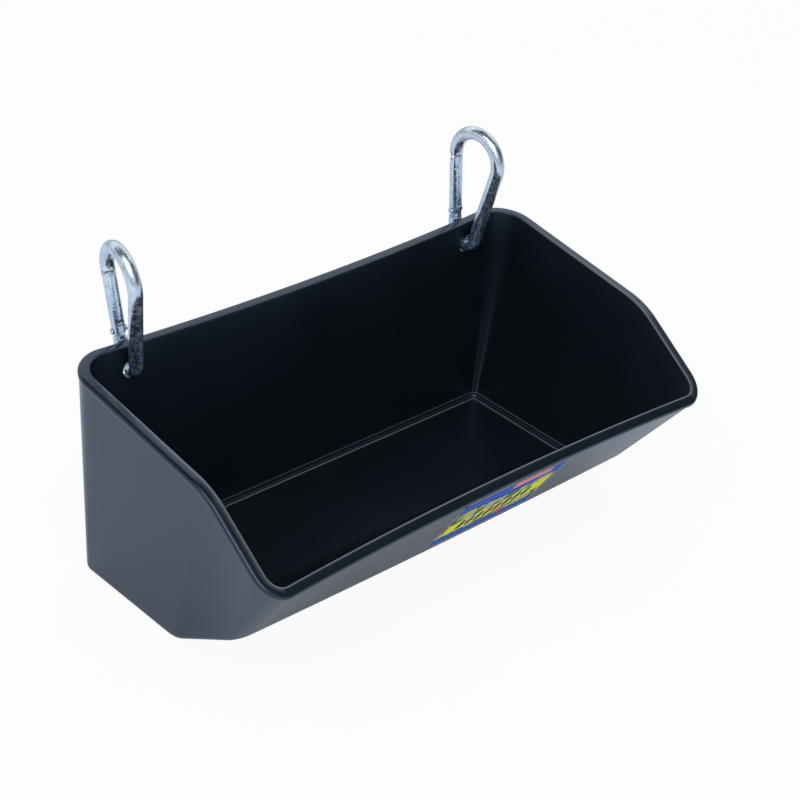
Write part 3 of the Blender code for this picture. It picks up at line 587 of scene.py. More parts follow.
wire = wire_points()
length = np.linalg.norm(np.diff(wire.mean(axis=1), axis=0), axis=1).sum()
print("wire length along its centre line, mm:", round(float(length) * 1000, 1))

# %% [markdown]
# ## Tongues of the wire
# The wire's foot is pressed flat into a tongue that carries the hinge rivet,
# and its nose ends in a thinner tongue with a notch, which the pin in the gate
# snaps behind. Both are flat shapes with a thickness. Four copies of the
# outline, the outer two drawn in a little, give their edges a small chamfer.

# %% Flat tongues with chamfered edges
TONGUE_THICKNESS, TONGUE_RADIUS, TONGUE_RISE, TONGUE_DEPTH, CHAMFER = 0.004, 0.0043, 0.0028, 0.008, 0.0003
NOSE_THICKNESS, NOSE_HALF_WIDTH, NOSE_NECK_WIDTH = 0.003, 0.0032, 0.0015
NOSE_BULB_TIP_AT, NOSE_BULB_HEIGHT, NOSE_NOTCH_HEIGHT = 0.0448, 0.0030, 0.0042


def drawn_in(outline, inset):
    """An anticlockwise outline moved in by inset, square to its edges, mitred at its corners."""
    ahead = np.roll(outline, -1, axis=0) - outline
    ahead = ahead / np.linalg.norm(ahead, axis=1)[:, None]
    inward = np.stack([-ahead[:, 1], ahead[:, 0]], axis=1)
    before = np.roll(inward, 1, axis=0)
    miter = (inward + before) / (1 + np.sum(inward * before, axis=1))[:, None]
    return outline + inset * miter


def plate_points(outline, thickness, chamfer):
    """Rows of a plate: the outline at four places through its thickness."""
    half = thickness / 2
    rows = []
    for y, inset in ((-half, chamfer), (-half + chamfer, 0.0), (half - chamfer, 0.0), (half, chamfer)):
        flat = drawn_in(outline, inset) if inset else outline
        rows.append(np.stack([flat[:, 0], np.full(len(flat), y), flat[:, 1]], axis=1))
    return moved(gate_frame(), np.array(rows))


angle = np.linspace(0, math.pi, 19)
tongue_rise = RIVET_AT + TONGUE_RISE + TONGUE_RADIUS * np.sin(angle)
tongue_top = np.stack([TONGUE_RADIUS * np.cos(angle), tongue_rise], axis=1)
tongue_foot = RIVET_AT - TONGUE_DEPTH
tongue_outline = np.concatenate([[[-TONGUE_RADIUS, tongue_foot], [TONGUE_RADIUS, tongue_foot]], tongue_top])
left, right = -NOSE_HALF_WIDTH, NOSE_HALF_WIDTH
neck = left + NOSE_NECK_WIDTH
bulb = right - NOSE_NECK_WIDTH / 2
shoulder = NOSE_BULB_TIP_AT + NOSE_BULB_HEIGHT
notch_top = shoulder + NOSE_NOTCH_HEIGHT
root = NOSE_JOINT_AT + WIRE / 2
nose_outline = np.array(
    [
        [left, NOSE_BULB_TIP_AT],
        [bulb, NOSE_BULB_TIP_AT],
        [bulb, shoulder],
        [neck, shoulder],
        [neck, notch_top],
        [right, notch_top],
        [right, root],
        [left, root],
    ]
)


def joined(shells):
    """Several closed shells as one set of points and faces."""
    points, faces, first = [], [], 0
    for shell_points, shell_faces in shells:
        points.append(shell_points.reshape(-1, 3))
        faces += [[index + first for index in face] for face in shell_faces]
        first += len(points[-1])
    return np.concatenate(points), faces


def shell_of(points):
    """Closed rows of points with their faces and two caps."""
    rows, columns = points.shape[:2]
    return points, grid_faces(rows, columns, True).tolist() + ring_caps(rows, columns)


STEEL_DENSITY = 7850
for side in ("left", "right"):
    shells = [shell_of(wire), shell_of(plate_points(tongue_outline, TONGUE_THICKNESS, CHAMFER))]
    shells.append(shell_of(plate_points(nose_outline, NOSE_THICKNESS, CHAMFER / 2)))
    points, faces = joined(shells)
    body = mesh_piece(side + "_hook_wire", moved(hook_frame(side), points), faces)
    uv = np.zeros((len(points), 2))
    uv[: wire.shape[0] * wire.shape[1]] = flow_uv(wire)
    add_uv(body, uv)
    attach(body, side + "_hook")
    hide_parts(side + "_hook_body")
    grams = enclosed_volume(body) * STEEL_DENSITY * 1000
    print(body.name, triangles(body), "triangles,", round(grams, 1), "g of steel")

# %% [markdown]
# ## The gates
# A gate is a straight round bar with a domed foot, which turns on the rivet.
# It is a surface of revolution, its top sheared like the nose above it. Then
# exact Booleans saw the fork for the foot's tongue, the slot for the nose's
# tongue and the bore for the spring, and drill the hole for the rivet. Last
# comes a small bent slit on the face of the bar, lanced to hold the pin.

# %% Turn and mill the gates
FORK_DEPTH, BORE_RADIUS, BORE_END_AT, RIVET_RADIUS = 0.0077, 0.0028, 0.0375, 0.0015
SLIT_AT, SLIT_TOP_AT, SLIT_RADIUS = 0.0478, 0.0522, 0.00042
GATE_LEAD, FORK_OVERRUN, DOME_TIP_ANGLE, EASED_EDGE = 0.006, 0.002, 0.04, 0.00018


def gate_points():
    """Domed foot r = R sin a, z = rivet - R cos a, then straight up to the slanted end."""
    dome = np.linspace(DOME_TIP_ANGLE, math.pi / 2, 14)
    rows = [gate_side_row(RIVET_AT - GATE_RADIUS * math.cos(a), GATE_RADIUS * math.sin(a)) for a in dome]
    straight = np.linspace(RIVET_AT, NOSE_JOINT_AT - GATE_LEAD, 12)[1:]
    rows += [gate_side_row(z, GATE_RADIUS) for z in straight]
    top = NOSE_JOINT_AT - NOSE_GAP
    reach = GATE_RADIUS - END_ROUND * (1 - np.cos(end_turns))
    step = END_ROUND * (1 - np.sin(end_turns))
    rows += [gate_side_row(top - d, r, NOSE_SLANT) for d, r in zip(step, reach)]
    return np.array(rows)


def slot_tool(name, side, low, high, thickness, inner_side=WIRE):
    """A plate in the hook's plane, from low to high on the gate side, as far in as inner_side."""
    outline = np.array([[-WIRE, low], [inner_side, low], [inner_side, high], [-WIRE, high]])
    points, faces = shell_of(plate_points(outline, thickness, 0.0))
    return mesh_piece(name, moved(hook_frame(side), points), faces)


def on_gate(degrees, z):
    """A point of the gate's round side, at an angle from the hook's inside toward its face."""
    turn = math.radians(degrees)
    return np.array([GATE_RADIUS * math.cos(turn), -GATE_RADIUS * math.sin(turn), z])


slit_path = [on_gate(35, SLIT_TOP_AT)] + [on_gate(degrees, SLIT_AT) for degrees in (35, 60, 85)]
for side in ("left", "right"):
    matrix = hook_frame(side) @ gate_frame()
    points, faces = shell_of(gate_points())
    gate = mesh_piece(side + "_gate_bar", moved(hook_frame(side), points), faces)
    thickness = TONGUE_THICKNESS + 2 * CLEARANCE
    fork = slot_tool(side + "_fork", side, -FORK_OVERRUN, RIVET_AT + FORK_DEPTH, thickness)
    low, high = NOSE_BULB_TIP_AT - 3 * CLEARANCE, NOSE_JOINT_AT + WIRE
    thickness = NOSE_THICKNESS + 2 * CLEARANCE
    latch = slot_tool(side + "_latch", side, low, high, thickness, NOSE_HALF_WIDTH + CLEARANCE)
    ends = moved(matrix, np.array([[0.0, 0.0, RIVET_AT], [0.0, 0.0, BORE_END_AT]]))
    bore = disc_bar(side + "_bore", ends[0], ends[1], BORE_RADIUS)
    ends = moved(matrix, np.array([[0.0, -WIRE, RIVET_AT], [0.0, WIRE, RIVET_AT]]))
    hinge = disc_bar(side + "_hinge_drill", ends[0], ends[1], RIVET_RADIUS + CLEARANCE, 32)
    carve(gate, [fork, latch, bore, hinge])
    easing = gate.modifiers.new("eased edges", "BEVEL")
    easing.width = EASED_EDGE
    easing.segments = 2
    easing.limit_method = "ANGLE"
    easing.angle_limit = math.radians(50)
    path = moved(matrix, np.array(slit_path))
    ends = zip(path[:-1], path[1:])
    carve(gate, [disc_bar(f"{side}_slit_{i}", a, b, SLIT_RADIUS, 12) for i, (a, b) in enumerate(ends)])
    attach(gate, side + "_gate")
    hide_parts(side + "_gate")
    print(gate.name, triangles(gate), "triangles")

# %% [markdown]
# ## Rivet and latch pin
# The hinge rivet is a pin whose ends were hammered to low domes, and the latch
# pin is a short cross bar with broken edges. Both are profiles turned round
# their own axis, which is square to the hook.

# %% Turn the rivets and pins
HEAD_RADIUS, HEAD_HEIGHT, HEAD_TIP, PIN_RADIUS, BROKEN_EDGE = 0.0024, 0.0010, 0.0001, 0.0012, 0.0003


def turned_across(profile, across, at):
    """A profile of (y, radius) turned about an axis square to the hook."""
    angle = np.linspace(0, 2 * math.pi, 28, endpoint=False)
    y, radius = profile[:, 0], profile[:, 1]
    x = across + radius[:, None] * np.cos(angle)
    z = at + radius[:, None] * np.sin(angle)
    points = np.stack([x, np.broadcast_to(y[:, None], x.shape), z], axis=-1)
    return moved(gate_frame(), points)


seat = GATE_RADIUS + CLEARANCE
a = np.radians([90, 75, 60, 45, 30, 15, 0])
head = np.stack([seat + HEAD_HEIGHT * np.cos(a), np.maximum(HEAD_RADIUS * np.sin(a), HEAD_TIP)], axis=1)
shank = [[0.0, RIVET_RADIUS], [seat, RIVET_RADIUS], [seat, HEAD_RADIUS - BROKEN_EDGE]]
rivet_profile = np.concatenate([shank, head])
rivet_profile = np.concatenate([rivet_profile[:0:-1] * [-1.0, 1.0], rivet_profile])
pin_across = -NOSE_HALF_WIDTH + NOSE_NECK_WIDTH + PIN_RADIUS + 2 * CLEARANCE
pin_at = shoulder + NOSE_NOTCH_HEIGHT / 2
pin_reach = math.sqrt(GATE_RADIUS**2 - (abs(pin_across) + PIN_RADIUS) ** 2)
pin_end = np.array([pin_reach, PIN_RADIUS]) - BROKEN_EDGE * np.array([[1, 0], [1 / 3, 1 / 3], [0, 1]])
pin_profile = np.concatenate([pin_end[::-1] * [-1.0, 1.0], pin_end])
for side in ("left", "right"):
    turned = (
        ("_rivet_turned", rivet_profile, 0.0, RIVET_AT, side + "_hinge_rivet", side + "_hook"),
        ("_pin_turned", pin_profile, pin_across, pin_at, side + "_latch_pin", side + "_gate"),
    )
    for ending, profile, across, at, cad_name, body in turned:
        points, faces = shell_of(turned_across(profile, across, at))
        piece = mesh_piece(side + ending, moved(hook_frame(side), points), faces)
        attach(piece, body)
        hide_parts(cad_name)
        print(piece.name, triangles(piece), "triangles,", round(enclosed_volume(piece) * 1e9, 1), "mm3")

# %% [markdown]
# ## The label
# A thin clear film with a print sticks to the front wall. It is a grid over
# the wall's own surface, so it follows the wall's bow, pushed out by a hair,
# and its corners are rounded: near its upper and lower edge each row gets
# shorter, as on a circle. The print is worked out later, from its UV map.

# %% Lay the label on the front wall
LABEL_CENTRE, LABEL_WIDTH, LABEL_LOW, LABEL_HIGH = 0.019, 0.098, 0.06, 0.95
FILM_GAP, FILM_THICKNESS, FILM_CORNER, FILM_ROWS, FILM_COLUMNS = 0.00008, 0.00022, 0.004, 33, 61
front_foot = floor_ring(0.0, 0.0)[-BACK_STEPS - 1:]
front_top = under_rim[-BACK_STEPS - 1:]


def front_wall(x, share):
    """Point and outward direction on the front wall: a straight line from foot to rim at each x."""
    foot_y = np.interp(np.abs(x), front_foot[::-1, 0], front_foot[::-1, 1])
    foot_z = np.interp(np.abs(x), front_foot[::-1, 0], front_foot[::-1, 2])
    top_y = np.interp(np.abs(x), front_top[::-1, 0], front_top[::-1, 1])
    top_z = np.interp(np.abs(x), front_top[::-1, 0], front_top[::-1, 2])
    slant = np.hypot(top_y - foot_y, top_z - foot_z)
    rise = share + (1 - share) * OUTER_FILLET / slant
    point = np.stack([x, foot_y + (top_y - foot_y) * rise, foot_z + (top_z - foot_z) * rise], axis=-1)
    outward = np.stack([0 * x, -(top_z - foot_z) / slant, (top_y - foot_y) / slant], axis=-1)
    return point, outward, slant - OUTER_FILLET


v, u = np.meshgrid(np.linspace(0, 1, FILM_ROWS), np.linspace(0, 1, FILM_COLUMNS), indexing="ij")
tall = float(front_wall(np.array([LABEL_CENTRE]), np.array([0.0]))[2][0]) * (LABEL_HIGH - LABEL_LOW)
into_corner = np.clip(FILM_CORNER - tall * np.minimum(v, 1 - v), 0, FILM_CORNER)
half_width = LABEL_WIDTH / 2 - FILM_CORNER + np.sqrt(FILM_CORNER**2 - into_corner**2)
x = LABEL_CENTRE + half_width * (2 * u - 1)
point, outward, _ = front_wall(x, LABEL_LOW + (LABEL_HIGH - LABEL_LOW) * v)
layers = np.array([point + outward * FILM_GAP, point + outward * (FILM_GAP + FILM_THICKNESS)])
rows, columns = u.shape
under = grid_faces(rows, columns, False)
over = under[:, ::-1] + rows * columns
border = np.concatenate(
    [
        np.arange(columns),
        np.arange(1, rows) * columns + columns - 1,
        (rows - 1) * columns + np.arange(columns - 1)[::-1],
        np.arange(1, rows - 1)[::-1] * columns,
    ]
)
after = np.roll(border, -1)
rim = np.stack([border, after, after + rows * columns, border + rows * columns], axis=1)
film = mesh_piece("label_film", layers, np.concatenate([under, over, rim]).tolist())
spot = np.stack([(x - LABEL_CENTRE) / LABEL_WIDTH + 0.5, v], axis=-1).reshape(-1, 2)
add_uv(film, np.concatenate([spot, spot]))
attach(film, "trough")
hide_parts("front_label")
film_size = [round(value * 1000, 1) for value in (LABEL_WIDTH, tall)]
print("label, mm:", film_size, "volume mm3:", round(enclosed_volume(film) * 1e9, 1))

# %% [markdown]
# ## Node helpers
# A material is a small network of nodes. These helpers add a node with its
# values and its wires in one line, so that each finish below reads as a recipe.

# %% Helpers for node materials
def new_finish(name):
    """A material, its tree and its Principled shader."""
    material = bpy.data.materials.new(name)
    material.use_nodes = True
    return material, material.node_tree, material.node_tree.nodes["Principled BSDF"]


def node(tree, kind, wires=None, **values):
    """A node of a kind, with sockets set or wired: a value, or another node's output."""
    made = tree.nodes.new(kind)
    for key, value in values.items():
        setattr(made, key, value)
    for socket, value in (wires or {}).items():
        if isinstance(value, bpy.types.NodeSocket):
            tree.links.new(value, made.inputs[socket])
        else:
            made.inputs[socket].default_value = value
    return made


def maths(tree, operation, a, b=0.0, c=0.0):
    """One sum, product or function of values and outputs."""
    made = node(tree, "ShaderNodeMath", {0: a, 1: b, 2: c}, operation=operation)
    return made.outputs[0]


def ramp(tree, value, low, high, to_low=0.0, to_high=1.0):
    """A value mapped from low..high to to_low..to_high, clamped."""
    made = node(tree, "ShaderNodeMapRange", {0: value, 1: low, 2: high, 3: to_low, 4: to_high})
    return made.outputs[0]


def noise(tree, place, scale, detail=2.0, roughness=0.5):
    """A noise value at a place, from 0 to 1 and mostly near 0.5."""
    wires = {"Vector": place, "Scale": scale, "Detail": detail, "Roughness": roughness}
    return node(tree, "ShaderNodeTexNoise", wires).outputs["Fac"]


def mix(tree, factor, first, second):
    """The first colour where factor is 0, the second where it is 1."""
    made = node(tree, "ShaderNodeMix", data_type="RGBA")
    for socket, value in ((0, factor), (6, first), (7, second)):
        if isinstance(value, bpy.types.NodeSocket):
            tree.links.new(value, made.inputs[socket])
        else:
            made.inputs[socket].default_value = value
    return made.outputs[2]


# %% [markdown]
# ## Black moulded plastic
# The trough is satin black plastic with a cold tint. Up close it has the fine
# grain of the mould, and broad soft changes of gloss where the melt cooled at
# different rates. A few faint rubs from handling are a little rougher, and so
# is the inside. The colour stays almost black, so nearly all that the eye sees
# is the sheen. Pale painted highlight lines are mixed into the colour, and a
# power keeps them narrow.

# %% Black plastic
def black_plastic():
    material, tree, shader = new_finish("satin_black_plastic")
    place = node(tree, "ShaderNodeTexCoord").outputs["Object"]
    broad = noise(tree, place, 14.0, 3.0)
    drawn = node(tree, "ShaderNodeMapping", {"Vector": place, "Scale": (1.0, 9.0, 9.0)}).outputs[0]
    rubs = ramp(tree, noise(tree, drawn, 60.0, 5.0, 0.65), 0.60, 0.78)
    grain = noise(tree, place, 1900.0, 2.0, 0.6)
    deep, pale = (0.0032, 0.0060, 0.0076, 1.0), (0.0046, 0.0078, 0.0098, 1.0)
    tint = mix(tree, ramp(tree, broad, 0.3, 0.7), deep, pale)
    colour = mix(tree, maths(tree, "MULTIPLY", rubs, 0.35), tint, (0.014, 0.018, 0.024, 1.0))
    highlight_mask = node(tree, "ShaderNodeAttribute", attribute_name="witness_line").outputs["Fac"]
    inner = node(tree, "ShaderNodeAttribute", attribute_name="inner_side").outputs["Fac"]
    # Painted highlight: pale grey is mixed into the base colour along the marked lines, which stand in for
    # thin highlights.
    line = maths(tree, "POWER", highlight_mask, 2.6)
    tree.links.new(mix(tree, line, colour, (0.30, 0.32, 0.33, 1.0)), shader.inputs["Base Color"])
    gloss = maths(tree, "MULTIPLY_ADD", rubs, 0.08, ramp(tree, broad, 0.3, 0.7, 0.17, 0.23))
    tree.links.new(maths(tree, "MULTIPLY_ADD", inner, 0.16, gloss), shader.inputs["Roughness"])
    wires = {"Height": grain, "Strength": 0.22, "Distance": 0.00003}
    bump = node(tree, "ShaderNodeBump", wires)
    wires = {"Height": broad, "Strength": 0.25, "Distance": 0.0004, "Normal": bump.outputs[0]}
    swell = node(tree, "ShaderNodeBump", wires)
    tree.links.new(swell.outputs[0], shader.inputs["Normal"])
    shader.inputs["IOR"].default_value = 1.80
    shader.inputs["Specular Tint"].default_value = (0.52, 0.67, 1.0, 1.0)
    return material


def give(piece, material):
    """Make this the piece's only material."""
    piece.data.materials.clear()
    piece.data.materials.append(material)


give(trough, black_plastic())

# %% [markdown]
# ## Bright zinc plate
# The hooks are spring steel with a bright zinc coat, which has a bluish cast.
# The coat is a mirror with an uneven skin: a low swell bends its reflections,
# mottles of a few millimetres break them up, and duller clouds lie in it. A
# little milky oxide keeps the darkest parts from going black. Toward the foot
# the colour turns bluer, a painted bluish reflection on the lower legs. On the
# wire a few fine lines run along its length, from drawing. They follow the
# wire's UV map, turned into a point on a cylinder, so that no seam shows.

# %% Zinc plate
def zinc_plate(name, along_wire=False, rough=0.10):
    material, tree, shader = new_finish(name)
    coordinates = node(tree, "ShaderNodeTexCoord")
    place = coordinates.outputs["Object"]
    clouds = noise(tree, place, 120.0, 4.0, 0.6)
    mottles = noise(tree, place, 520.0, 3.0, 0.65)
    height = maths(tree, "MULTIPLY_ADD", mottles, 0.45, noise(tree, place, 190.0, 2.0))
    height = maths(tree, "MULTIPLY_ADD", noise(tree, place, 1700.0, 3.0, 0.7), 0.10, height)
    if along_wire:
        split = node(tree, "ShaderNodeSeparateXYZ", {0: coordinates.outputs["UV"]})
        turn = maths(tree, "MULTIPLY", split.outputs[1], 2 * math.pi)
        wires = {
            0: maths(tree, "COSINE", turn),
            1: maths(tree, "SINE", turn),
            2: maths(tree, "MULTIPLY", split.outputs[0], 0.22),
        }
        round_wire = node(tree, "ShaderNodeCombineXYZ", wires).outputs[0]
        height = maths(tree, "MULTIPLY_ADD", noise(tree, round_wire, 5.0, 4.0, 0.7), 0.35, height)
    bright, dull, slate = (0.77, 0.84, 0.91, 1.0), (0.56, 0.67, 0.77, 1.0), (0.20, 0.33, 0.46, 1.0)
    colour = mix(tree, ramp(tree, clouds, 0.35, 0.72), bright, dull)
    colour = mix(tree, ramp(tree, mottles, 0.50, 0.68, 0.0, 0.42), colour, slate)
    up = node(tree, "ShaderNodeSeparateXYZ", {0: place}).outputs[2]
    # Painted reflection: below a height of 0.205 m the plate is tinted blue, most at the foot.
    colour = mix(tree, ramp(tree, up, 0.150, 0.205, 0.65, 0.0), colour, (0.36, 0.57, 0.80, 1.0))
    tree.links.new(colour, shader.inputs["Base Color"])
    milky = ramp(tree, noise(tree, place, 330.0, 4.0, 0.7), 0.45, 0.60, 0.97, 0.80)
    tree.links.new(milky, shader.inputs["Metallic"])
    gloss = maths(tree, "MULTIPLY_ADD", mottles, 0.05, ramp(tree, clouds, 0.35, 0.75, rough, rough + 0.10))
    tree.links.new(gloss, shader.inputs["Roughness"])
    bump = node(tree, "ShaderNodeBump", {"Height": height, "Strength": 0.55, "Distance": 0.00032})
    tree.links.new(bump.outputs[0], shader.inputs["Normal"])
    return material


for piece in list(bpy.data.objects):
    if piece.type == "MESH" and piece.name.split("_")[0] in ("left", "right"):
        wired = piece.name.endswith("_hook_wire")
        give(piece, zinc_plate(piece.name + "_zinc", along_wire=wired, rough=0.07 if wired else 0.10))

# %% [markdown]
# ## The label's print
# The print is a plain farm pattern of its own: a blue sky with a salmon cloud,
# patchwork fields under it, a yellow band with a row of dark seeds across them,
# a blue foot and a small orange-red disc. Each shape is a mask worked out from
# the UV map: one side of a curve, a range, or a disc. The row of seeds is one
# ellipse in a cell that repeats. A mask goes from 0 to 1 over a hair's width,
# which keeps the edges crisp. The fields are the cells of a Voronoi pattern.
# The ink is laminated matt, so its colours stay strong when seen along the wall.
# The clear border is painted with the wall's dark sheen, and its edge with a
# pale painted highlight.

# %% Print the label
def label_print():
    material, tree, shader = new_finish("label_print")
    coordinates = node(tree, "ShaderNodeTexCoord")
    flat, place = coordinates.outputs["UV"], coordinates.outputs["Object"]
    split = node(tree, "ShaderNodeSeparateXYZ", {0: flat})
    u, v = split.outputs[0], split.outputs[1]

    def above(curve, soft=0.008):
        return ramp(tree, maths(tree, "SUBTRACT", v, curve), -soft, soft)

    def wave(start, slope, height, turns, shift):
        """start + slope * u + height * sin(2 pi turns u + shift)."""
        sine = maths(tree, "SINE", maths(tree, "MULTIPLY_ADD", u, turns * 2 * math.pi, shift))
        return maths(tree, "MULTIPLY_ADD", sine, height, maths(tree, "MULTIPLY_ADD", u, slope, start))

    def squared_sum(first, second):
        return maths(tree, "MULTIPLY_ADD", first, first, maths(tree, "MULTIPLY", second, second))

    def disc(centre_u, centre_v, radius, soft=0.010):
        du = maths(tree, "MULTIPLY", maths(tree, "SUBTRACT", u, centre_u), LABEL_WIDTH / tall)
        reach = maths(tree, "SQRT", squared_sum(du, maths(tree, "SUBTRACT", v, centre_v)))
        return ramp(tree, reach, radius - soft, radius + soft, 1.0, 0.0)

    def strip(low, high):
        return maths(tree, "MULTIPLY", above(low), maths(tree, "SUBTRACT", 1.0, above(high)))

    def seeds(curve, count, half_height, lean):
        """An ellipse in each of count cells along u, leaning with its height over the curve."""
        rise = maths(tree, "DIVIDE", maths(tree, "SUBTRACT", v, curve), half_height)
        along = maths(tree, "MULTIPLY_ADD", rise, -lean, maths(tree, "MULTIPLY", u, count))
        cell = maths(tree, "FRACT", along)
        across = maths(tree, "MULTIPLY", maths(tree, "SUBTRACT", cell, 0.5), 2.7)
        return ramp(tree, squared_sum(across, rise), 0.85, 1.05, 1.0, 0.0)

    def within(value, low, high):
        below_high = ramp(tree, value, high, high + 0.01, 1.0, 0.0)
        return maths(tree, "MULTIPLY", ramp(tree, value, low, low + 0.01), below_high)

    blue, deep, salmon = (0.002, 0.120, 0.600, 1.0), (0.004, 0.050, 0.380, 1.0), (0.95, 0.30, 0.26, 1.0)
    colour = mix(tree, within(v, 0.80, 0.90), deep, blue)
    cloud = maths(tree, "MULTIPLY", within(u, 0.50, 0.86), strip(wave(0.80, 0.06, 0.01, 1.2, 0.0), 0.955))
    colour = mix(tree, cloud, colour, salmon)
    wires = {"Vector": flat, "Scale": (17.0, 8.0, 1.0), "Rotation": (0.0, 0.0, 0.6)}
    stretched = node(tree, "ShaderNodeMapping", wires).outputs[0]
    plots = node(tree, "ShaderNodeTexVoronoi", {"Vector": stretched, "Scale": 1.0}).outputs["Color"]
    plot = node(tree, "ShaderNodeSeparateXYZ", {0: plots})
    green, straw, stone = (0.060, 0.140, 0.090, 1.0), (0.700, 0.640, 0.060, 1.0), (0.500, 0.480, 0.450, 1.0)
    field = mix(tree, ramp(tree, plot.outputs[0], 0.35, 0.55), green, straw)
    field = mix(tree, ramp(tree, plot.outputs[1], 0.70, 0.75), field, stone)
    colour = mix(tree, maths(tree, "SUBTRACT", 1.0, above(wave(0.70, 0.06, 0.04, 1.1, 0.6))), colour, field)
    middle = wave(0.36, 0.20, -0.07, 0.5, 0.0)
    band = strip(maths(tree, "SUBTRACT", middle, 0.125), maths(tree, "ADD", middle, 0.125))
    band = maths(tree, "MULTIPLY", band, within(u, 0.05, 0.95))
    colour = mix(tree, band, colour, (1.000, 0.930, 0.004, 1.0))
    cells, half_edge = 12.0, 0.005
    row = within(u, 2 / cells - half_edge, 10 / cells - half_edge)
    marks = maths(tree, "MULTIPLY", seeds(middle, cells, 0.110, 0.05), row)
    colour = mix(tree, marks, colour, (0.002, 0.035, 0.120, 1.0))
    foot = maths(tree, "SUBTRACT", 1.0, above(wave(0.17, 0.03, 0.02, 1.0, 1.0)))
    colour = mix(tree, foot, colour, (0.004, 0.085, 0.520, 1.0))
    colour = mix(tree, disc(0.64, 0.22, 0.075), colour, (0.80, 0.09, 0.02, 1.0))

    def inner(value, edge):
        off_centre = maths(tree, "ABSOLUTE", maths(tree, "SUBTRACT", value, 0.5))
        return ramp(tree, off_centre, edge - 0.003, edge, 1.0, 0.0)

    printed = maths(tree, "MULTIPLY", inner(u, 0.474), inner(v, 0.470))
    body = maths(tree, "MULTIPLY", inner(u, 0.491), inner(v, 0.487))
    dots = noise(tree, place, 2400.0, 1.0)
    ink = mix(tree, ramp(tree, dots, 0.3, 0.7, 0.0, 0.08), colour, (0.5, 0.5, 0.5, 1.0))
    # Painted sheen: the clear film's border is coloured dark blue-grey for the wall's sheen under it, and
    # its outermost edge pale grey as a painted highlight.
    border = mix(tree, body, (0.520, 0.540, 0.600, 1.0), (0.035, 0.040, 0.060, 1.0))
    tree.links.new(mix(tree, printed, border, ink), shader.inputs["Base Color"])
    tree.links.new(ramp(tree, dots, 0.3, 0.7, 0.36, 0.44), shader.inputs["Roughness"])
    crinkle = noise(tree, place, 160.0, 2.0)
    bump = node(tree, "ShaderNodeBump", {"Height": crinkle, "Strength": 0.15, "Distance": 0.0002})
    tree.links.new(bump.outputs[0], shader.inputs["Normal"])
    shader.inputs["Specular IOR Level"].default_value = 0.05
    return material


give(film, label_print())

# %% [markdown]
# ## Floor, backdrop and light
# The studio is a pale floor in a white room. Rays that come from the camera see
# the floor mostly as plain white light, so it stays white in the picture but
# keeps a soft shadow, and mirror rays see part of that white. The room is white
# all round for the camera. For mirror rays it has four soft dark patches and is
# dimmer toward the horizon, as a real room is round a photographer's tent: they
# draw the dark band on the lip and the dark streaks on the plated hooks. Each
# patch is a smooth function of the angle between a ray and the patch's own
# direction. The room lights the object a little less than it shows, and one
# large square lamp from the left adds the soft key light.

# %% Floor and world
def rays(tree):
    """Two numbers for the ray at hand: 1 if it comes from the camera, 1 if off gloss or through glass."""
    ray = node(tree, "ShaderNodeLightPath")
    mirror = maths(tree, "MAXIMUM", ray.outputs["Is Glossy Ray"], ray.outputs["Is Transmission Ray"])
    return ray.outputs["Is Camera Ray"], mirror


WHITE_SHARE, MIRROR_SHARE = 0.94, 0.12


def pale_floor():
    material, tree, shader = new_finish("studio_white")
    shader.inputs["Base Color"].default_value = (0.68, 0.74, 0.84, 1.0)
    shader.inputs["Roughness"].default_value = 0.9
    white = node(tree, "ShaderNodeEmission", {"Color": (1.0, 1.0, 1.0, 1.0), "Strength": 1.0})
    camera_ray, mirror_ray = rays(tree)
    seen = maths(tree, "MAXIMUM", camera_ray, maths(tree, "MULTIPLY", mirror_ray, MIRROR_SHARE))
    wires = {0: maths(tree, "MULTIPLY", seen, WHITE_SHARE), 1: shader.outputs[0], 2: white.outputs[0]}
    blend = node(tree, "ShaderNodeMixShader", wires)
    tree.links.new(blend.outputs[0], tree.nodes["Material Output"].inputs["Surface"])
    return material


HALF_FLOOR, FLOOR_DROP = 3.0, 0.0005
corners = np.array([[-1.0, -1.0], [1.0, -1.0], [1.0, 1.0], [-1.0, 1.0]]) * HALF_FLOOR
floor = mesh_piece("studio_floor", np.insert(corners, 2, -FLOOR_DROP, axis=1), [[0, 1, 2, 3]])
give(floor, pale_floor())

ROOM_LIGHT = 0.78
world = bpy.data.worlds.new("studio_world")
bpy.context.scene.world = world
world.use_nodes = True
sky = world.node_tree
direction = node(sky, "ShaderNodeTexCoord").outputs["Generated"]


def dark_patch(toward, edge, inside):
    """1 inside a round patch of the room, 0 outside: a ramp of the ray's cosine to its middle."""
    cosine = node(sky, "ShaderNodeVectorMath", {0: direction, 1: toward}, operation="DOT_PRODUCT")
    return ramp(sky, cosine.outputs["Value"], edge, inside)


camera_ray, mirror_ray = rays(sky)
height = node(sky, "ShaderNodeSeparateXYZ", {0: direction}).outputs[2]
patches = ramp(sky, height, 0.08, 0.42, 0.55, 0.0)
for toward, patch_edge, patch_inside in (
    ((0.55, -0.70, 0.46), 0.76, 0.87),
    ((0.0, 0.05, 1.0), 0.78, 0.88),
    ((-0.50, 0.55, 0.67), 0.92, 0.97),
    ((-0.77, -0.18, 0.61), 0.93, 0.97),
):
    patches = maths(sky, "MAXIMUM", patches, dark_patch(toward, patch_edge, patch_inside))
dimming = maths(sky, "MULTIPLY", maths(sky, "MULTIPLY", patches, mirror_ray), 0.90)
plain = ramp(sky, maths(sky, "MAXIMUM", camera_ray, mirror_ray), 0.0, 1.0, ROOM_LIGHT, 1.0)
strength = maths(sky, "MULTIPLY", plain, maths(sky, "SUBTRACT", 1.0, dimming))
sky.links.new(strength, sky.nodes["Background"].inputs["Strength"])
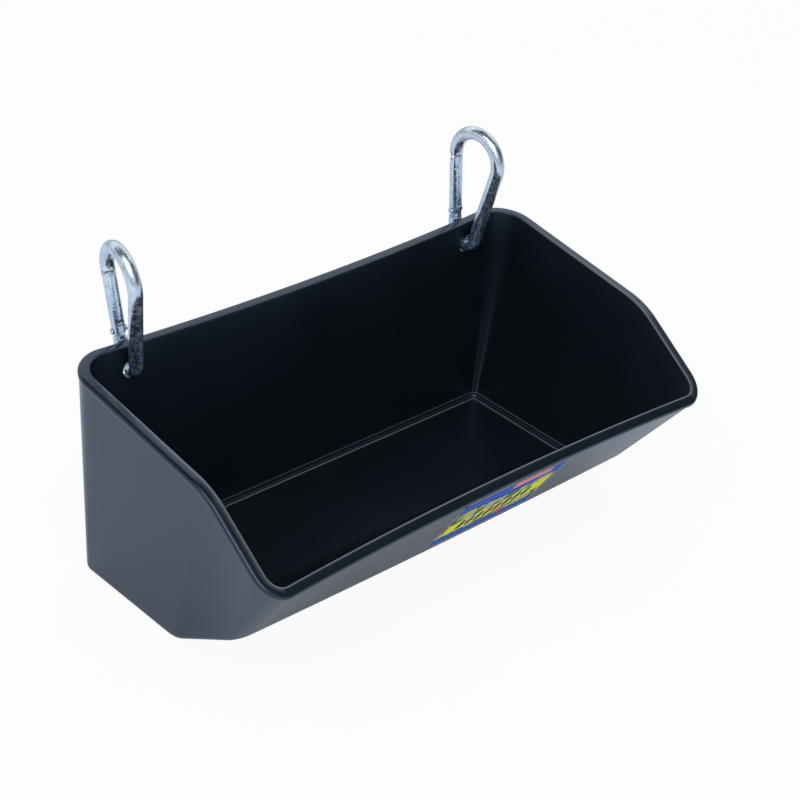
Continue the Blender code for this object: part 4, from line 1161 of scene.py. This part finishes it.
tone = mix(sky, camera_ray, (0.93, 0.965, 1.0, 1.0), (1.0, 1.0, 1.0, 1.0))
sky.links.new(tone, sky.nodes["Background"].inputs["Color"])


def soft_lamp(name, place, aim, size, power):
    light = bpy.data.lights.new(name, "AREA")
    light.shape = "SQUARE"
    light.size = size
    light.energy = power
    lamp = bpy.data.objects.new(name, light)
    lamp.location = place
    lamp.rotation_euler = (Vector(aim) - Vector(place)).to_track_quat("-Z", "Y").to_euler()
    bpy.context.scene.collection.objects.link(lamp)


soft_lamp("key_lamp", place=(-0.9, -0.6, 1.5), aim=(0.0, -0.05, 0.1), size=1.6, power=13.0)

# %% [markdown]
# ## The camera
# The camera stands where the photograph was taken from: to the left, in front
# and above. Its place and lens come from fitting the trough's outline, and its
# view direction is written as a compass angle, a tilt and a roll.

# %% Camera
FOCAL_PIXELS, PICTURE_PIXELS = 2119.5, 800.0
azimuth, tilt, roll = math.radians(-45.604), math.radians(-31.778), math.radians(5.211)
forward = np.array([-math.sin(azimuth) * math.cos(tilt), math.cos(azimuth) * math.cos(tilt), math.sin(tilt)])
level_right = np.cross(forward, [0.0, 0.0, 1.0])
level_right = level_right / np.linalg.norm(level_right)
level_up = np.cross(level_right, forward)
right_way = level_right * math.cos(roll) + level_up * math.sin(roll)
up_way = level_up * math.cos(roll) - level_right * math.sin(roll)
place = np.array([-0.8631, -0.7384 + lip_y, 0.8648])
lens = bpy.data.cameras.new("camera")
lens.sensor_width = 36.0
lens.lens = FOCAL_PIXELS * lens.sensor_width / PICTURE_PIXELS
lens.clip_end = 20.0
camera = bpy.data.objects.new("camera", lens)
stand = np.eye(4)
stand[:3] = np.stack([right_way, up_way, -forward, place], axis=1)
camera.matrix_world = Matrix(stand.tolist())
bpy.context.scene.collection.objects.link(camera)
bpy.context.scene.camera = camera
bpy.context.scene.view_settings.view_transform = "Standard"
print("camera height, mm:", round(float(place[2]) * 1000), "lens, mm:", round(lens.lens, 1))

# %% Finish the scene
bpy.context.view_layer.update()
